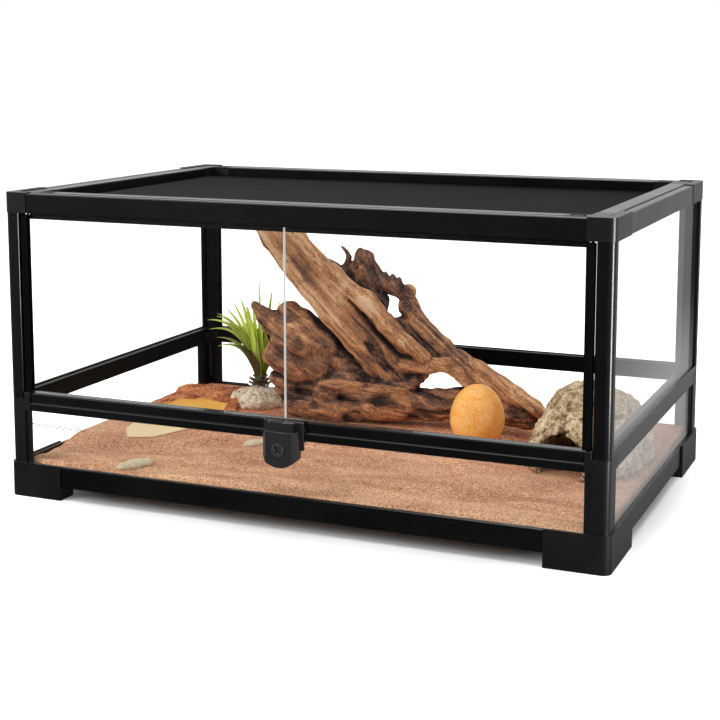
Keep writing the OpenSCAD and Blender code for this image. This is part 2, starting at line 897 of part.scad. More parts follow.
// Leaves as [how far the tip lies sideways, back and up from the crown, arch].
leaves = [
    [-3, 6, 114, 6], [11, 10, 100, 8], [22, 12, 91, 10], [-27, 4, 88, 14], [-37, 2, 85, 18],
    [-44, 1, 75, 24], [-63, -8, 61, 34], [-59, -12, 51, 32], [-62, 12, 62, 30], [-46, -18, 44, 22],
    [-32, -14, 60, 18], [-22, -24, 38, 18], [-8, -28, 35, 14], [5, -18, 48, 10], [-29, 20, 77, 18],
    [-17, 34, 69, 24], [7, 38, 75, 22], [29, 28, 67, 22], [-39, 28, 49, 26], [-9, 50, 45, 26]
];

module plant() {
    color([0.55, 0.72, 0.12])
        translate([plant_at[0], plant_at[1], peg_z])
            union() {
                translate([0, 0, 0.1])
                    cylinder(h = 12, r = 5.5, $fn = 10);
                translate([0, 0, 11])
                    cylinder(h = 12, r1 = 9, r2 = 6, $fn = 10);
                for (l = leaves)
                    translate([0, 0, 17])
                        leaf([l[0], l[1], l[2]], l[3], 7);
            }
}

module rock_shape(grow = 0) {
    hull() {
        translate([plant_at[0] - 24, plant_at[1] + 1, 44])
            sphere(12 + grow, $fn = 20);
        translate([plant_at[0] - 1, plant_at[1] - 4, 40])
            sphere(24 + grow, $fn = 20);
        translate([plant_at[0] + 11, plant_at[1] + 5, 40])
            sphere(17 + grow, $fn = 20);
    }
}

// Pale rock that holds the plant.
module plant_rock() {
    color([0.75, 0.70, 0.62])
        difference() {
            rock_shape();
            translate([-300, 0, 0])
                cube([300, 200, bed_z(0) + bed_gap]);
            translate([plant_at[0], plant_at[1], peg_z])
                cylinder(h = 30, r = 6);
        }
}

// Corners of the dish's rim: [x, y, height of the centre of the corner's ball].
dish_rim = [
    [-252, -50, 35.5], [-261, 20, 36.5], [-268, 52, 39], [-272, 73, 40], [-274, 95, 41],
    [-262, 113, 41.5], [-217, 121, 41.5], [-208, 114, 41], [-175, 14, 38], [-208, -84, 34.5],
    [-226, -91, 34.5]
];
// Corners of the basin inside it.
basin_rim = [
    [-251, -47], [-254, 24], [-249, 44], [-228, 53], [-197, 55], [-183, 15], [-210, -78],
    [-225, -86]
];
basin_z = 42;

// Shallow water dish cast as rough rock, higher at the back. The plant's rock stands in a
// hollow of its side.
module water_dish() {
    color([0.72, 0.36, 0.16])
        difference() {
            hull()
                for (p = dish_rim)
                    translate(p)
                        sphere(7, $fn = 14);
            translate([-300, -200, 0])
                cube([300, 400, bed_z(0) + bed_gap]);
            rock_shape(0.5);
            hull()
                for (p = basin_rim) {
                    translate([p[0], p[1], basin_z])
                        cylinder(h = 1, r = 3, $fn = 14);
                    translate([p[0] - 3, p[1] - 2, basin_z + 45])
                        cylinder(h = 1, r = 8, $fn = 14);
                }
        }
}

cave_at = [230, 2];

// Hollow rock with an arched mouth towards the front.
module rock_cave() {
    color([0.68, 0.62, 0.46])
        difference() {
            hull() {
                translate([cave_at[0] - 3, cave_at[1] - 12, 48])
                    sphere(54, $fn = 28);
                translate([cave_at[0] + 2, cave_at[1] + 36, 52])
                    sphere(54, $fn = 28);
                translate([cave_at[0] - 2, cave_at[1] + 6, 72])
                    sphere(46, $fn = 28);
            }
            hull() {
                translate([cave_at[0] - 24, cave_at[1] - 92, 44])
                    sphere(21, $fn = 24);
                translate([cave_at[0] - 2, cave_at[1] + 26, 46])
                    sphere(38, $fn = 24);
                translate([cave_at[0] - 4, cave_at[1] + 4, 66])
                    sphere(30, $fn = 24);
            }
            translate([100, -200, -100])
                cube([300, 400, 100 + bed_z(300) + bed_gap]);
        }
}

egg_at = [114, 9];

// Egg outline: a short half oval below and a longer one above.
module egg_stone() {
    low = 0.44 * egg_h;
    color([0.95, 0.62, 0.25])
        translate([egg_at[0], egg_at[1], bed_z(egg_at[0]) + bed_gap])
            rotate_extrude($fn = 64)
                polygon(concat(
                    [[0, 0], [0.4 * egg_r, 0]],
                    [for (a = [-60:12:0]) [egg_r * cos(a), low * (1 + sin(a))]],
                    [for (a = [12:12:84]) [egg_r * cos(a), low + (egg_h - low) * sin(a)]],
                    [[0, egg_h]]
                ));
}

module pebble(x, y, turn, long, wide) {
    reach = long / 2 - 3;
    seat = max([for (a = [0:30:330], part = [0.5, 1])
        sand_z(x + part * reach * cos(a), y + part * reach * sin(a))]);
    translate([x, y, seat + 0.5])
        rotate([0, 0, turn])
            difference() {
                hull()
                    for (end = [-1, 0, 1])
                        translate([end * (long - wide) / 2, 0, 0])
                            resize([wide, wide, end == 0 ? 10 : 7])
                                sphere(wide / 2, $fn = 16);
                translate([-long, -long, -long])
                    cube([2 * long, 2 * long, long]);
            }
}

module pebbles() {
    color([0.74, 0.68, 0.58]) {
        pebble(-179, -164, 62, 42, 19);
        pebble(-107, -50, 55, 26, 13);
    }
}

// ---------- assembly ----------

placed() corner(false, false) boot();  // front_left_boot
placed() corner(true, false) boot();  // front_right_boot
placed() corner(false, true) boot();  // rear_left_boot
placed() corner(true, true) boot();  // rear_right_boot
placed() foot_pads();
placed() front_bottom_rail();
placed() corner(false, true) front_bottom_rail();  // rear_bottom_rail
placed() left_bottom_rail();
placed() corner(true, false) left_bottom_rail();  // right_bottom_rail
placed() base_glass();
placed() front_tray_glass();
placed() corner(false, true) front_tray_glass();  // rear_tray_glass
placed() left_tray_glass();
placed() corner(true, false) left_tray_glass();  // right_tray_glass
placed() tray_seals();
placed() tray_posts();
placed() front_mid_rail();
placed() rear_mid_rail();
placed() left_mid_rail();
placed() corner(true, false) left_mid_rail();  // right_mid_rail
placed() door_pivot_blocks();
placed() front_post();  // front_left_post
placed() corner(true, false) front_post();  // front_right_post
placed() rear_post();  // rear_left_post
placed() corner(true, false) rear_post();  // rear_right_post
placed() rear_glass();
placed() left_glass();
placed() corner(true, false) left_glass();  // right_glass
placed() front_top_rail();
placed() rear_top_rail();
placed() left_top_rail();
placed() corner(true, false) left_top_rail();  // right_top_rail
placed() cover_ledges();
placed() top_cap(false);  // front_left_cap
placed() corner(true, false) top_cap(false);  // front_right_cap
placed() corner(false, true) top_cap(true);  // rear_left_cap
placed() corner(true, true) top_cap(true);  // rear_right_cap
placed() left_door_glass();
placed() left_door_stile();
placed() corner(true, false) left_door_glass();  // right_door_glass
placed() corner(true, false) left_door_stile();  // right_door_stile
placed() latch_bracket();
placed() latch_body();
placed() latch_catch();
placed() lock_barrel();
placed() cover_bars();
placed() cover_corners();
placed() screen_mesh();
placed() clip();  // front_left_clip
placed() corner(true, false) clip();  // front_right_clip
placed() corner(false, true) clip();  // rear_left_clip
placed() corner(true, true) clip();  // rear_right_clip
placed() sand_bed();
placed() driftwood();
placed() plant();
placed() plant_rock();
placed() water_dish();
placed() rock_cave();
placed() egg_stone();
placed() pebbles();
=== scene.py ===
"""Finish of a front-opening glass terrarium: black frame, clear panes, sand, wood, plant and stones."""

import json
import math

import bpy
import numpy as np
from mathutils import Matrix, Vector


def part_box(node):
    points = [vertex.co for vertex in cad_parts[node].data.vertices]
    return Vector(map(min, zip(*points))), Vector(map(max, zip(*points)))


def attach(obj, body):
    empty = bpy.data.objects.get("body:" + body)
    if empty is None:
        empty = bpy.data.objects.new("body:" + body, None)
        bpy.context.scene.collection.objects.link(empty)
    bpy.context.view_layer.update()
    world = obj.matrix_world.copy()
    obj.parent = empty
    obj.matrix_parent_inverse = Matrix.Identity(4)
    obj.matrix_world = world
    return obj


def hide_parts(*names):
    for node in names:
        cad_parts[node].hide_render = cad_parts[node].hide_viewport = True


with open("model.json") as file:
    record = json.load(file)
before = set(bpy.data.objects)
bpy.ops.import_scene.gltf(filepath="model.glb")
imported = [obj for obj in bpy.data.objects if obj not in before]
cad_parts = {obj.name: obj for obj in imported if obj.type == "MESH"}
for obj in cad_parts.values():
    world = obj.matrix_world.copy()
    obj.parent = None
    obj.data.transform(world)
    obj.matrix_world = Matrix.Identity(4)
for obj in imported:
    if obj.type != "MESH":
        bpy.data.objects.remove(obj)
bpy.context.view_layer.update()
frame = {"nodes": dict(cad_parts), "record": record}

MM = 0.001
CASE_BACK = 6.4          # the case's middle lies this far behind the origin, in mm
RIGHT, BACK, UP, FRONT = (1.0, 0.0, 0.0), (0.0, 1.0, 0.0), (0.0, 0.0, 1.0), (0.0, -1.0, 0.0)
WHITE, BLACK = (1.0, 1.0, 1.0), (0.0, 0.0, 0.0)


def tone(red, green, blue):
    """The linear colour that shows as this 8-bit one."""
    return tuple(((c / 255 + 0.055) / 1.055) ** 2.4 if c > 10.3 else c / 255 / 12.92
                 for c in (red, green, blue))


# ---------- shader maths ----------

def is_wide(value):
    """True for a colour or vector, False for a single number."""
    if isinstance(value, Wire):
        return value.socket.type in ("RGBA", "VECTOR")
    return isinstance(value, (tuple, list))


def operator(operation, swapped=False):
    """A method of Wire that adds the node for this operation."""
    def work(self, *others):
        terms = (*others, self) if swapped else (self, *others)
        kind = "ShaderNodeVectorMath" if any(map(is_wide, terms)) else "ShaderNodeMath"
        return self.paint.node(kind, {"operation": operation}, dict(enumerate(terms)))
    return work


class Wire:
    """One output of a node. Its operators add the nodes that work them out."""

    def __init__(self, paint, socket):
        self.paint, self.socket = paint, socket

    __add__, __radd__ = operator("ADD"), operator("ADD", swapped=True)
    __sub__, __rsub__ = operator("SUBTRACT"), operator("SUBTRACT", swapped=True)
    __mul__, __rmul__ = operator("MULTIPLY"), operator("MULTIPLY", swapped=True)
    __pow__, __abs__ = operator("POWER"), operator("ABSOLUTE")

    def dot(self, other):
        return self.paint.node("ShaderNodeVectorMath", {"operation": "DOT_PRODUCT"},
                               {0: self, 1: other}, out="Value")

    def step(self, low, high, start=0.0, end=1.0):
        """Runs smoothly from start, at low, to end, at high."""
        return self.paint.node(
            "ShaderNodeMapRange", {"interpolation_type": "SMOOTHSTEP"},
            {"Value": self, "From Min": low, "From Max": high, "To Min": start, "To Max": end})

    def ramp(self, *stops):
        """The colour at this value, between stops of (place, colour)."""
        return self.paint.node("ShaderNodeValToRGB", {"stops": stops}, {"Fac": self})


class Paint:
    """A material, or the world, and the nodes in it."""

    def __init__(self, name, owner=None):
        self.owner = owner or bpy.data.materials.new(name)
        self.owner.use_nodes = True
        self.tree = self.owner.node_tree
        self.tree.nodes.clear()

    def plug(self, socket, value):
        if isinstance(value, Wire):
            self.tree.links.new(value.socket, socket)
        elif socket.type in ("RGBA", "VECTOR"):
            value = tuple(value) if isinstance(value, (tuple, list)) else (value,) * 3
            socket.default_value = value + (1.0,) * (len(socket.default_value) - len(value))
        else:
            socket.default_value = value

    def node(self, kind, settings=None, values=None, out=0):
        """A node of this kind, its settings first, then the values or links of its sockets."""
        made = self.tree.nodes.new(kind)
        for key, value in (settings or {}).items():
            if key == "stops":
                elements = made.color_ramp.elements
                while len(elements) < len(value):
                    elements.new(0.5)
                for element, (place, colour) in zip(elements, value):
                    element.position = place
                    element.color = tuple(colour) + (1.0,)
            else:
                setattr(made, key, value)
        for key, value in (values or {}).items():
            self.plug(made.inputs[key], value)
        return Wire(self, made.outputs[out]) if made.outputs else None

    def place(self):
        """Where a point of the piece is, in metres."""
        return self.node("ShaderNodeTexCoord", out="Object")

    def normal(self):
        return self.node("ShaderNodeTexCoord", out="Normal")

    def made(self, name):
        """A value that the mesh carries."""
        return self.node("ShaderNodeAttribute", {"attribute_name": name}, out="Fac")

    def noise(self, at, scale, detail=2.0, rough=0.5):
        return self.node("ShaderNodeTexNoise", None, {
            "Vector": at, "Scale": scale, "Detail": detail, "Roughness": rough})

    def grains(self, at, scale, out):
        return self.node("ShaderNodeTexVoronoi", None, {"Vector": at, "Scale": scale}, out=out)

    def pits(self, at, scale):
        """Round pits: the distance to the middle of the nearest grain."""
        return self.grains(at, scale, "Distance")

    def chips(self, at, scale):
        """A random value from 0 to 1 for each grain."""
        return self.grains(at, scale, "Color").dot(RIGHT)

    def mix(self, share, low, high):
        """One colour or the other, by share."""
        return self.node("ShaderNodeMix", {"data_type": "RGBA"}, {0: share, 6: low, 7: high}, out=2)

    def blend(self, share, under, over):
        """One shader or the other, by share."""
        return self.node("ShaderNodeMixShader", None, {0: share, 1: under, 2: over})

    def glow(self, colour, strength):
        return self.node("ShaderNodeEmission", None, {"Color": colour, "Strength": strength})

    def bump(self, height, depth, strength=1.0):
        """Relief whose height runs from 0 to 1 and is depth millimetres deep."""
        return self.node("ShaderNodeBump", None, {
            "Height": height, "Distance": depth * MM, "Strength": strength})

    def solid(self, **values):
        """The standard surface; a name's underscores stand for spaces."""
        return self.node("ShaderNodeBsdfPrincipled", None, {
            key.replace("_", " "): value for key, value in values.items()})

    def done(self, shader):
        kind = "World" if isinstance(self.owner, bpy.types.World) else "Material"
        self.node("ShaderNodeOutput" + kind, None, {"Surface": shader})
        return self.owner


# ---------- finishes ----------

def satin_black(name, dark, light, rough, grain_depth, gloss):
    """Black finish with a fine grain, a little uneven."""
    p = Paint(name)
    at = p.place()
    cloud = p.noise(at, 18, 3)
    grain = p.noise(at, 2600, 2)
    colour = p.mix(cloud.step(0.3, 0.75), dark, light)
    return p.done(p.solid(
        Base_Color=colour, Roughness=rough + 0.10 * (cloud - 0.5) + 0.05 * (grain - 0.5),
        Specular_IOR_Level=gloss, Normal=p.bump(grain, grain_depth)))


def clear_glass(name, thin_axis, edge, edge_light, painted_reflection):
    """Clear sheet glass: see-through on its broad faces, with dark cut edges.

    The smooth edge of a door beside its neighbour is painted white with a glow, a painted
    highlight. A pane with a painted reflection glows white when it is seen at a low angle,
    most of all near its foot.
    """
    p = Paint(name)
    at = p.place()
    inside = p.node("ShaderNodeNewGeometry", out="Backfacing")
    facing = abs(p.normal().dot(thin_axis)).step(0.4, 0.6)
    facing = facing + inside - facing * inside
    smear = p.noise(at, 9, 2)
    grazing = p.node("ShaderNodeLayerWeight", None, {"Blend": 0.5}, out="Facing") ** 5.0
    clear = p.node("ShaderNodeBsdfTransparent", None, {"Color": (0.988, 0.994, 0.992)})
    # Painted reflection: a white glow over the pane at a low angle, strongest near its foot.
    if painted_reflection:
        low = at.dot(UP).step(0.08, 0.2, 0.42, 0.05)
        clear = p.blend(painted_reflection * low * grazing, clear, p.glow(WHITE, 0.9))
    shine = p.node("ShaderNodeBsdfAnisotropic", None, {"Color": WHITE, "Roughness": 0.02})
    broad = p.blend(0.004 + 0.004 * smear + 0.52 * grazing, clear, shine)
    # Painted highlight: a door's meeting edge is painted white and glows.
    glowing_edge = abs(p.normal().dot(RIGHT)).step(0.4, 0.6)
    glowing_edge = glowing_edge * abs(at.dot(RIGHT)).step(0.05, 0.06, 1.0, 0.0)
    green = p.mix(p.noise(at, 400, 2), (0.015, 0.035, 0.03), (0.02, 0.05, 0.045))
    cut = p.solid(Base_Color=p.mix(glowing_edge, green, edge), Roughness=0.35,
                  Emission_Color=p.mix(glowing_edge, BLACK, edge),
                  Emission_Strength=edge_light)
    return p.done(p.blend(facing, cut, broad))


def smeared(name, dark, light, scale, rough, gloss):
    """A plain soft finish that varies a little from dark to light."""
    p = Paint(name)
    smear = p.noise(p.place(), scale, 2)
    return p.done(p.solid(Base_Color=p.mix(smear, dark, light), Roughness=rough,
                          Specular_IOR_Level=gloss))


def plated_steel():
    """Dark turned steel of the lock."""
    p = Paint("plated_steel")
    at = p.place()
    turning = p.noise(at * (3000.0, 60.0, 3000.0), 1.0, 2)
    return p.done(p.solid(Base_Color=p.mix(turning, (0.035, 0.035, 0.037), (0.09, 0.09, 0.094)),
                          Roughness=0.28 + 0.15 * turning, Metallic=0.6))


def woven_black():
    """Coated screen wire, lighter towards the front."""
    p = Paint("coated_wire")
    at = p.place()
    coat = p.noise(at, 900, 2)
    towards_front = at.dot(FRONT).step(-0.18, 0.1)
    light = p.mix(towards_front, (0.006, 0.006, 0.0065), (0.022, 0.022, 0.023))
    return p.done(p.solid(Base_Color=p.mix(coat, (0.004, 0.004, 0.0045), light),
                          Roughness=0.6, Specular_IOR_Level=0.1))


def loose_sand():
    """Pinkish tan at the front, burnt orange at the back; painted shade darkens the dips between
    the crests and painted light brightens the front.
    """
    p = Paint("loose_sand")
    at = p.place()
    grains = p.noise(at, 620, 3, 0.8)
    chips = p.chips(at, 1150)
    patches = p.noise(at * (1.0, 2.0, 1.0), 16, 4, 0.6)
    back = p.made("depth")
    crest = p.made("crest")
    # Painted light: the sand is lightened towards the front glass.
    near = at.dot(FRONT).step(0.10, 0.17)
    front = p.mix(patches.step(0.3, 0.7), tone(206, 144, 112), tone(236, 186, 152))
    front = p.mix(near * 0.5, front, tone(255, 206, 160))
    rear = p.mix(patches.step(0.3, 0.7), tone(172, 78, 36), tone(216, 118, 64))
    colour = p.mix(back, front, rear)
    # Painted shade: the dips between the crests are darkened.
    colour = p.mix(crest.step(0.0, 0.8, 0.55, 0.0), colour, tone(164, 98, 66))
    colour = p.mix(chips.step(0.5, 1.0, 0.0, 0.8), colour, tone(255, 216, 176))
    colour = p.mix(chips.step(0.0, 0.5, 0.8, 0.0), colour, tone(150, 76, 42))
    return p.done(p.solid(Base_Color=colour, Roughness=0.95, Specular_IOR_Level=0.2,
                          Normal=p.bump(grains, 1.0, 0.9)))


def bare_wood():
    """Weathered wood: light where its ridges are rubbed, painted shade in hollows and cracks, long fine
    grain.
    """
    p = Paint("bare_wood")
    at = p.place()
    wave = p.noise(at, 35, 2)
    along, across, depth = p.made("along"), p.made("across") + 0.010 * wave, p.made("depth")
    lines = p.node("ShaderNodeCombineXYZ", None, {0: along, 1: across, 2: depth})
    fibre = p.noise(lines * (17.0, 520.0, 380.0), 1.0, 4, 0.75)
    streak = p.noise(lines * (9.0, 110.0, 80.0), 1.0, 3, 0.6)
    split = abs(p.noise(lines * (10.0, 150.0, 110.0), 1.0, 3, 0.6) - 0.5)
    cloud = p.noise(at, 42, 4, 0.6)
    # The value that the mesh carries holds wear and painted shade in hollows and where limbs meet.
    worn = p.made("worn") + 0.26 * (streak - 0.5) + 0.62 * (fibre - 0.5) + 0.3 * (cloud - 0.5)
    # Painted shade: the cracks are darkened.
    worn = worn - split.step(0.0, 0.016, 0.28, 0.0)
    worn = worn + 0.12 * (p.chips(at, 700) - 0.5)
    colour = worn.ramp(
        (0.0, tone(40, 28, 24)), (0.2, tone(80, 56, 47)), (0.42, tone(130, 93, 74)),
        (0.60, tone(176, 120, 82)), (0.80, tone(216, 160, 112)), (1.0, tone(238, 202, 164)))
    height = 0.5 * fibre + 0.3 * streak + 0.4 * split.step(0.0, 0.03)
    return p.done(p.solid(Base_Color=colour, Roughness=0.78 + 0.1 * (fibre - 0.5),
                          Specular_IOR_Level=0.3, Normal=p.bump(height, 1.1, 1.0)))


def strap_leaf():
    """Lime leaves with a paler middle; the oldest have gone olive and brown."""
    p = Paint("strap_leaf")
    at = p.place()
    age = p.made("age")
    up = p.made("up")
    mottle = p.noise(at, 260, 3)
    fresh = p.mix(up, tone(146, 190, 16), tone(236, 250, 112))
    fresh = p.mix(mottle.step(0.35, 0.7, 0.0, 0.4), fresh, tone(196, 230, 40))
    old = p.mix(mottle, tone(118, 104, 62), tone(70, 56, 46))
    return p.done(p.solid(Base_Color=p.mix(age, fresh, old), Roughness=0.42,
                          Specular_IOR_Level=0.4, Normal=p.bump(mottle, 0.15)))


def rough_stone(name, dark, mid, light, scale, pit_depth, speckle):
    """Grainy stone with pits: painted shade darkens the hollows and pits, and the knobs are pale."""
    p = Paint(name)
    at = p.place()
    lumps = p.noise(at, scale, 5, 0.65)
    pits = p.pits(at, scale * 3.0)
    # Painted shade: the carried value and the pit centres darken the low places.
    worn = p.made("worn") + 1.2 * (lumps - 0.5) + 0.45 * (pits - 0.3)
    worn = worn + speckle * (p.chips(at, 520) - 0.5)
    colour = worn.ramp((0.1, dark), (0.45, mid), (0.85, light))
    return p.done(p.solid(Base_Color=colour, Roughness=0.9, Specular_IOR_Level=0.25,
                          Normal=p.bump(0.6 * lumps + 0.4 * pits, pit_depth)))


def dish_clay():
    """Terracotta rock outside; smooth glaze in the basin, golden at the back, cream in front."""
    p = Paint("dish_clay")
    at = p.place()
    basin = p.made("basin")
    worn = p.made("worn")
    lumps = p.noise(at, 160, 4, 0.65)
    # The carried value holds painted shade in the rock's hollows.
    rock = (worn + 0.8 * (lumps - 0.5) + 0.55 * (p.chips(at, 560) - 0.5)).ramp(
        (0.05, tone(96, 44, 22)), (0.5, tone(178, 96, 54)), (0.95, tone(236, 160, 104)))
    cloud = p.noise(at, 40, 3)
    gold = p.mix(cloud, tone(232, 156, 44), tone(250, 196, 96))
    cream = p.mix(cloud, tone(244, 208, 150), tone(252, 228, 186))
    glaze = p.mix(at.dot(BACK).step(-0.03, 0.03), cream, gold)
    return p.done(p.solid(Base_Color=p.mix(basin, rock, glaze),
                          Roughness=0.85 - 0.45 * basin, Specular_IOR_Level=0.35,
                          Normal=p.bump(lumps * (1 - basin), 1.6)))


def speckled_egg():
    """Orange stone with pale and rust freckles."""
    p = Paint("speckled_egg")
    at = p.place()
    cloud = p.noise(at, 55, 4, 0.6)
    freckle = p.noise(at, 520, 3, 0.7)
    colour = p.mix(cloud.step(0.3, 0.7), tone(252, 164, 40), tone(255, 198, 92))
    colour = p.mix(freckle.step(0.5, 0.62, 0.0, 0.7), colour, tone(246, 192, 166))
    colour = p.mix(freckle.step(0.34, 0.46, 0.7, 0.0), colour, tone(236, 126, 30))
    return p.done(p.solid(Base_Color=colour, Roughness=0.5, Specular_IOR_Level=0.4,
                          Normal=p.bump(freckle, 0.12)))


# ---------- shapes worked out on a grid ----------

CHANCE = np.random.default_rng(1207).random((64, 64, 64)).astype(np.float32) * 2 - 1


def ease(t):
    t = np.clip(t, 0, 1)
    return t * t * (3 - 2 * t)


def drift(x, y, z, seed=0):
    """Smooth noise between -1 and 1 that changes over about one unit."""
    x, y, z = np.broadcast_arrays(x, y, z)
    total = 0
    floor = [np.floor(v).astype(int) for v in (x, y, z)]
    part = [ease(v - f).astype(np.float32) for v, f in zip((x, y, z), floor)]
    for i in (0, 1):
        for j in (0, 1):
            for k in (0, 1):
                share = ((part[0] if i else 1 - part[0]) * (part[1] if j else 1 - part[1])
                         * (part[2] if k else 1 - part[2]))
                total = total + share * CHANCE[(floor[0] + i + 17 * seed) & 63,
                                               (floor[1] + j + 5 * seed) & 63,
                                               (floor[2] + k + 31 * seed) & 63]
    return total


def knit(a, b, soft):
    """The nearer of two distances, with a fillet where they meet."""
    share = np.clip(0.5 + 0.5 * (b - a) / soft, 0, 1)
    return b + (a - b) * share - soft * share * (1 - share)


FAR = 40.0               # distance given to the places that no ball reaches, in mm


class Lump:
    """A block, from its low to its high corner, of distances to a shape on a grid of step mm.

    The distances are negative inside the shape, and its skin is where they are zero.
    """

    def __init__(self, low, high, step):
        self.low, self.step = np.array(low, float), step
        self.axes = [np.arange(a, b + step, step) for a, b in zip(low, high)]
        self.away = np.full([len(a) for a in self.axes], FAR, np.float32)

    def near(self, low, high):
        """The part of the block between two corners, and the places in it."""
        cut = tuple(slice(*np.searchsorted(a, (u, v)))
                    for a, u, v in zip(self.axes, low, high))
        return cut, np.meshgrid(*[a[c] for a, c in zip(self.axes, cut)],
                                indexing="ij", sparse=True)

    def limb(self, balls, soft=5.0, hollow=False):
        """Adds or hollows out balls (x, y, z, r), each joined to the next."""
        balls = np.array(balls, float)
        for a, b in zip(balls[:-1], balls[1:]):
            reach = max(a[3], b[3]) + 3 * soft
            low, high = np.minimum(a, b)[:3] - reach, np.maximum(a, b)[:3] + reach
            cut, at = self.near(low, high)
            run = (b - a)[:3]
            share = sum((v - o) * r for v, o, r in zip(at, a, run)) / (run @ run)
            share = np.clip(share, 0, 1)
            gap = np.sqrt(sum((v - o - share * r) ** 2 for v, o, r in zip(at, a, run)))
            gap = gap - (a[3] + share * (b - a)[3])
            if hollow:
                self.away[cut] = -knit(-self.away[cut], gap, soft)
            else:
                self.away[cut] = knit(self.away[cut], gap, soft)

    def press(self, relief, reach=8.0):
        """Raises the skin by relief(x, y, z) mm."""
        spot = np.nonzero(np.abs(self.away) < reach)
        at = [a[s] for a, s in zip(self.axes, spot)]
        self.away[spot] -= relief(*at)

    def stand(self, level):
        """Cuts the shape off flat at this height."""
        self.away = np.maximum(self.away, level - self.axes[2][None, None, :])

    def sample(self, points, away=None):
        """The distance at each point, from this block or from another of the same size."""
        away = self.away if away is None else away
        spot = np.rint((points - self.low) / self.step).astype(int)
        spot = np.clip(spot, 0, np.array(away.shape) - 1)
        return away[tuple(spot.T)]

    def outward(self, points):
        """The direction that leads straight off the skin at each point."""
        steps = np.eye(3) * 1.5 * self.step
        slope = np.stack([self.sample(points + step) - self.sample(points - step)
                          for step in steps], 1)
        return slope / (np.linalg.norm(slope, axis=1, keepdims=True) + 1e-6)

    def skin(self):
        """Points and four-sided faces of the zero surface."""
        away, inside = self.away, self.away < 0
        size = np.array(away.shape) - 1
        corner_sum = sum(
            inside[i:size[0] + i, j:size[1] + j, k:size[2] + k].astype(np.int8)
            for i in (0, 1) for j in (0, 1) for k in (0, 1))
        mixed = (corner_sum > 0) & (corner_sum < 8)
        cell = np.argwhere(mixed)
        number = np.full(size, -1, np.int64)
        number[mixed] = np.arange(len(cell))
        total, hits = np.zeros((len(cell), 3)), np.zeros(len(cell))
        ways = [np.roll(np.eye(3, dtype=int), -axis, 0) for axis in range(3)]
        for unit, *sides in ways:
            for i in (0, 1):
                for j in (0, 1):
                    start = i * sides[0] + j * sides[1]
                    a = away[tuple((cell + start).T)]
                    b = away[tuple((cell + start + unit).T)]
                    cross = (a < 0) != (b < 0)
                    share = a[cross] / (a[cross] - b[cross])
                    total[cross] += start + unit * share[:, None]
                    hits[cross] += 1
        points = self.low + self.step * (cell + total / hits[:, None])
        faces = []
        for unit, *sides in ways:
            low = sides[0] + sides[1]
            spot = tuple(slice(l, s) if not u else slice(0, s)
                         for l, s, u in zip(low, size, unit))
            ahead = tuple(slice(l, s) if not u else slice(1, s + 1)
                          for l, s, u in zip(low, size, unit))
            edge = np.argwhere(inside[spot] != inside[ahead]) + low
            quad = np.stack([number[tuple((edge - shift).T)] for shift in (
                0 * low, sides[0], sides[0] + sides[1], sides[1])], 1)
            outward = inside[tuple(edge.T)]
            faces += [quad[outward], quad[~outward][:, ::-1]]
        return points, np.concatenate(faces)


def piece(name, points, faces, finish, slot, body="case", stands_for=(), smooth=True, **carried):
    """A mesh in case-centred mm, with the values that its finish reads."""
    mesh = bpy.data.meshes.new(name)
    points = (np.asarray(points, float) + (0, CASE_BACK, 0)) * MM
    mesh.from_pydata(points.tolist(), [], [list(f) for f in faces])
    for key, values in carried.items():
        mesh.attributes.new(key, "FLOAT", "POINT").data.foreach_set(
            "value", np.asarray(values, np.float32))
    mesh.polygons.foreach_set("use_smooth", [smooth] * len(mesh.polygons))
    mesh.update()
    mesh.materials.append(finish)
    made = bpy.data.objects.new(name, mesh)
    bpy.context.scene.collection.objects.link(made)
    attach(made, body)
    if stands_for:
        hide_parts(*stands_for)
    return made


def loft(points, faces, rings, flip=False):
    """Adds a closed skin through rings of points; flip turns it inside out."""
    first, around = len(points), len(rings[0])
    for ring in rings:
        points += ring
    last, turn = len(points) - around, -1 if flip else 1
    for start in range(first, last, around):
        for j in range(around):
            a, b = start + j, start + (j + 1) % around
            faces.append((a, b, b + around, a + around)[::turn])
    faces.append(list(range(first, first + around))[::-turn])
    faces.append(list(range(last, last + around))[::turn])


def circle(count, offset=0.0):
    """Cosine and sine of evenly spaced angles."""
    return [(math.cos(a), math.sin(a))
            for a in (2 * math.pi * (k + offset) / count for k in range(count))]


# ---------- sand ----------

SAND_HALF = (288.4, 188.4)
SAND_FLOOR = 19.75
SAND_STEP = 2.2
BED = 40.0               # height of the raked sand that the furnishings stand on
BED_RIGHT = 36.0         # and of the lower bed at the right end, under the cave
SEAT = 0.05              # what stands on the sand is cut off this far above the solid bed


def bed_height(x):
    """The raked bed, which drops to the right of the egg."""
    return BED - (BED - BED_RIGHT) * ease((np.asarray(x) - 112) / 45)


def sand_height(x, y):
    """Height of the sand, and how far each place belongs to the level bed and not to the front."""
    level = ease((y + 40 + 84 * ease((np.abs(x + 10) - 110) / 55)) / 28)
    waves = (1.6 * np.sin(np.radians(360 * (y - 0.42 * x) / 88 + 40 * np.sin(np.radians(x * 0.9))))
             + 0.8 * np.sin(np.radians(360 * (x + 0.2 * y) / 150)))
    behind = 7 * ease((y - 126) / 34) * ease((-135 - x) / 40)
    return bed_height(x) * level + (34.5 + waves) * (1 - level) - behind, level


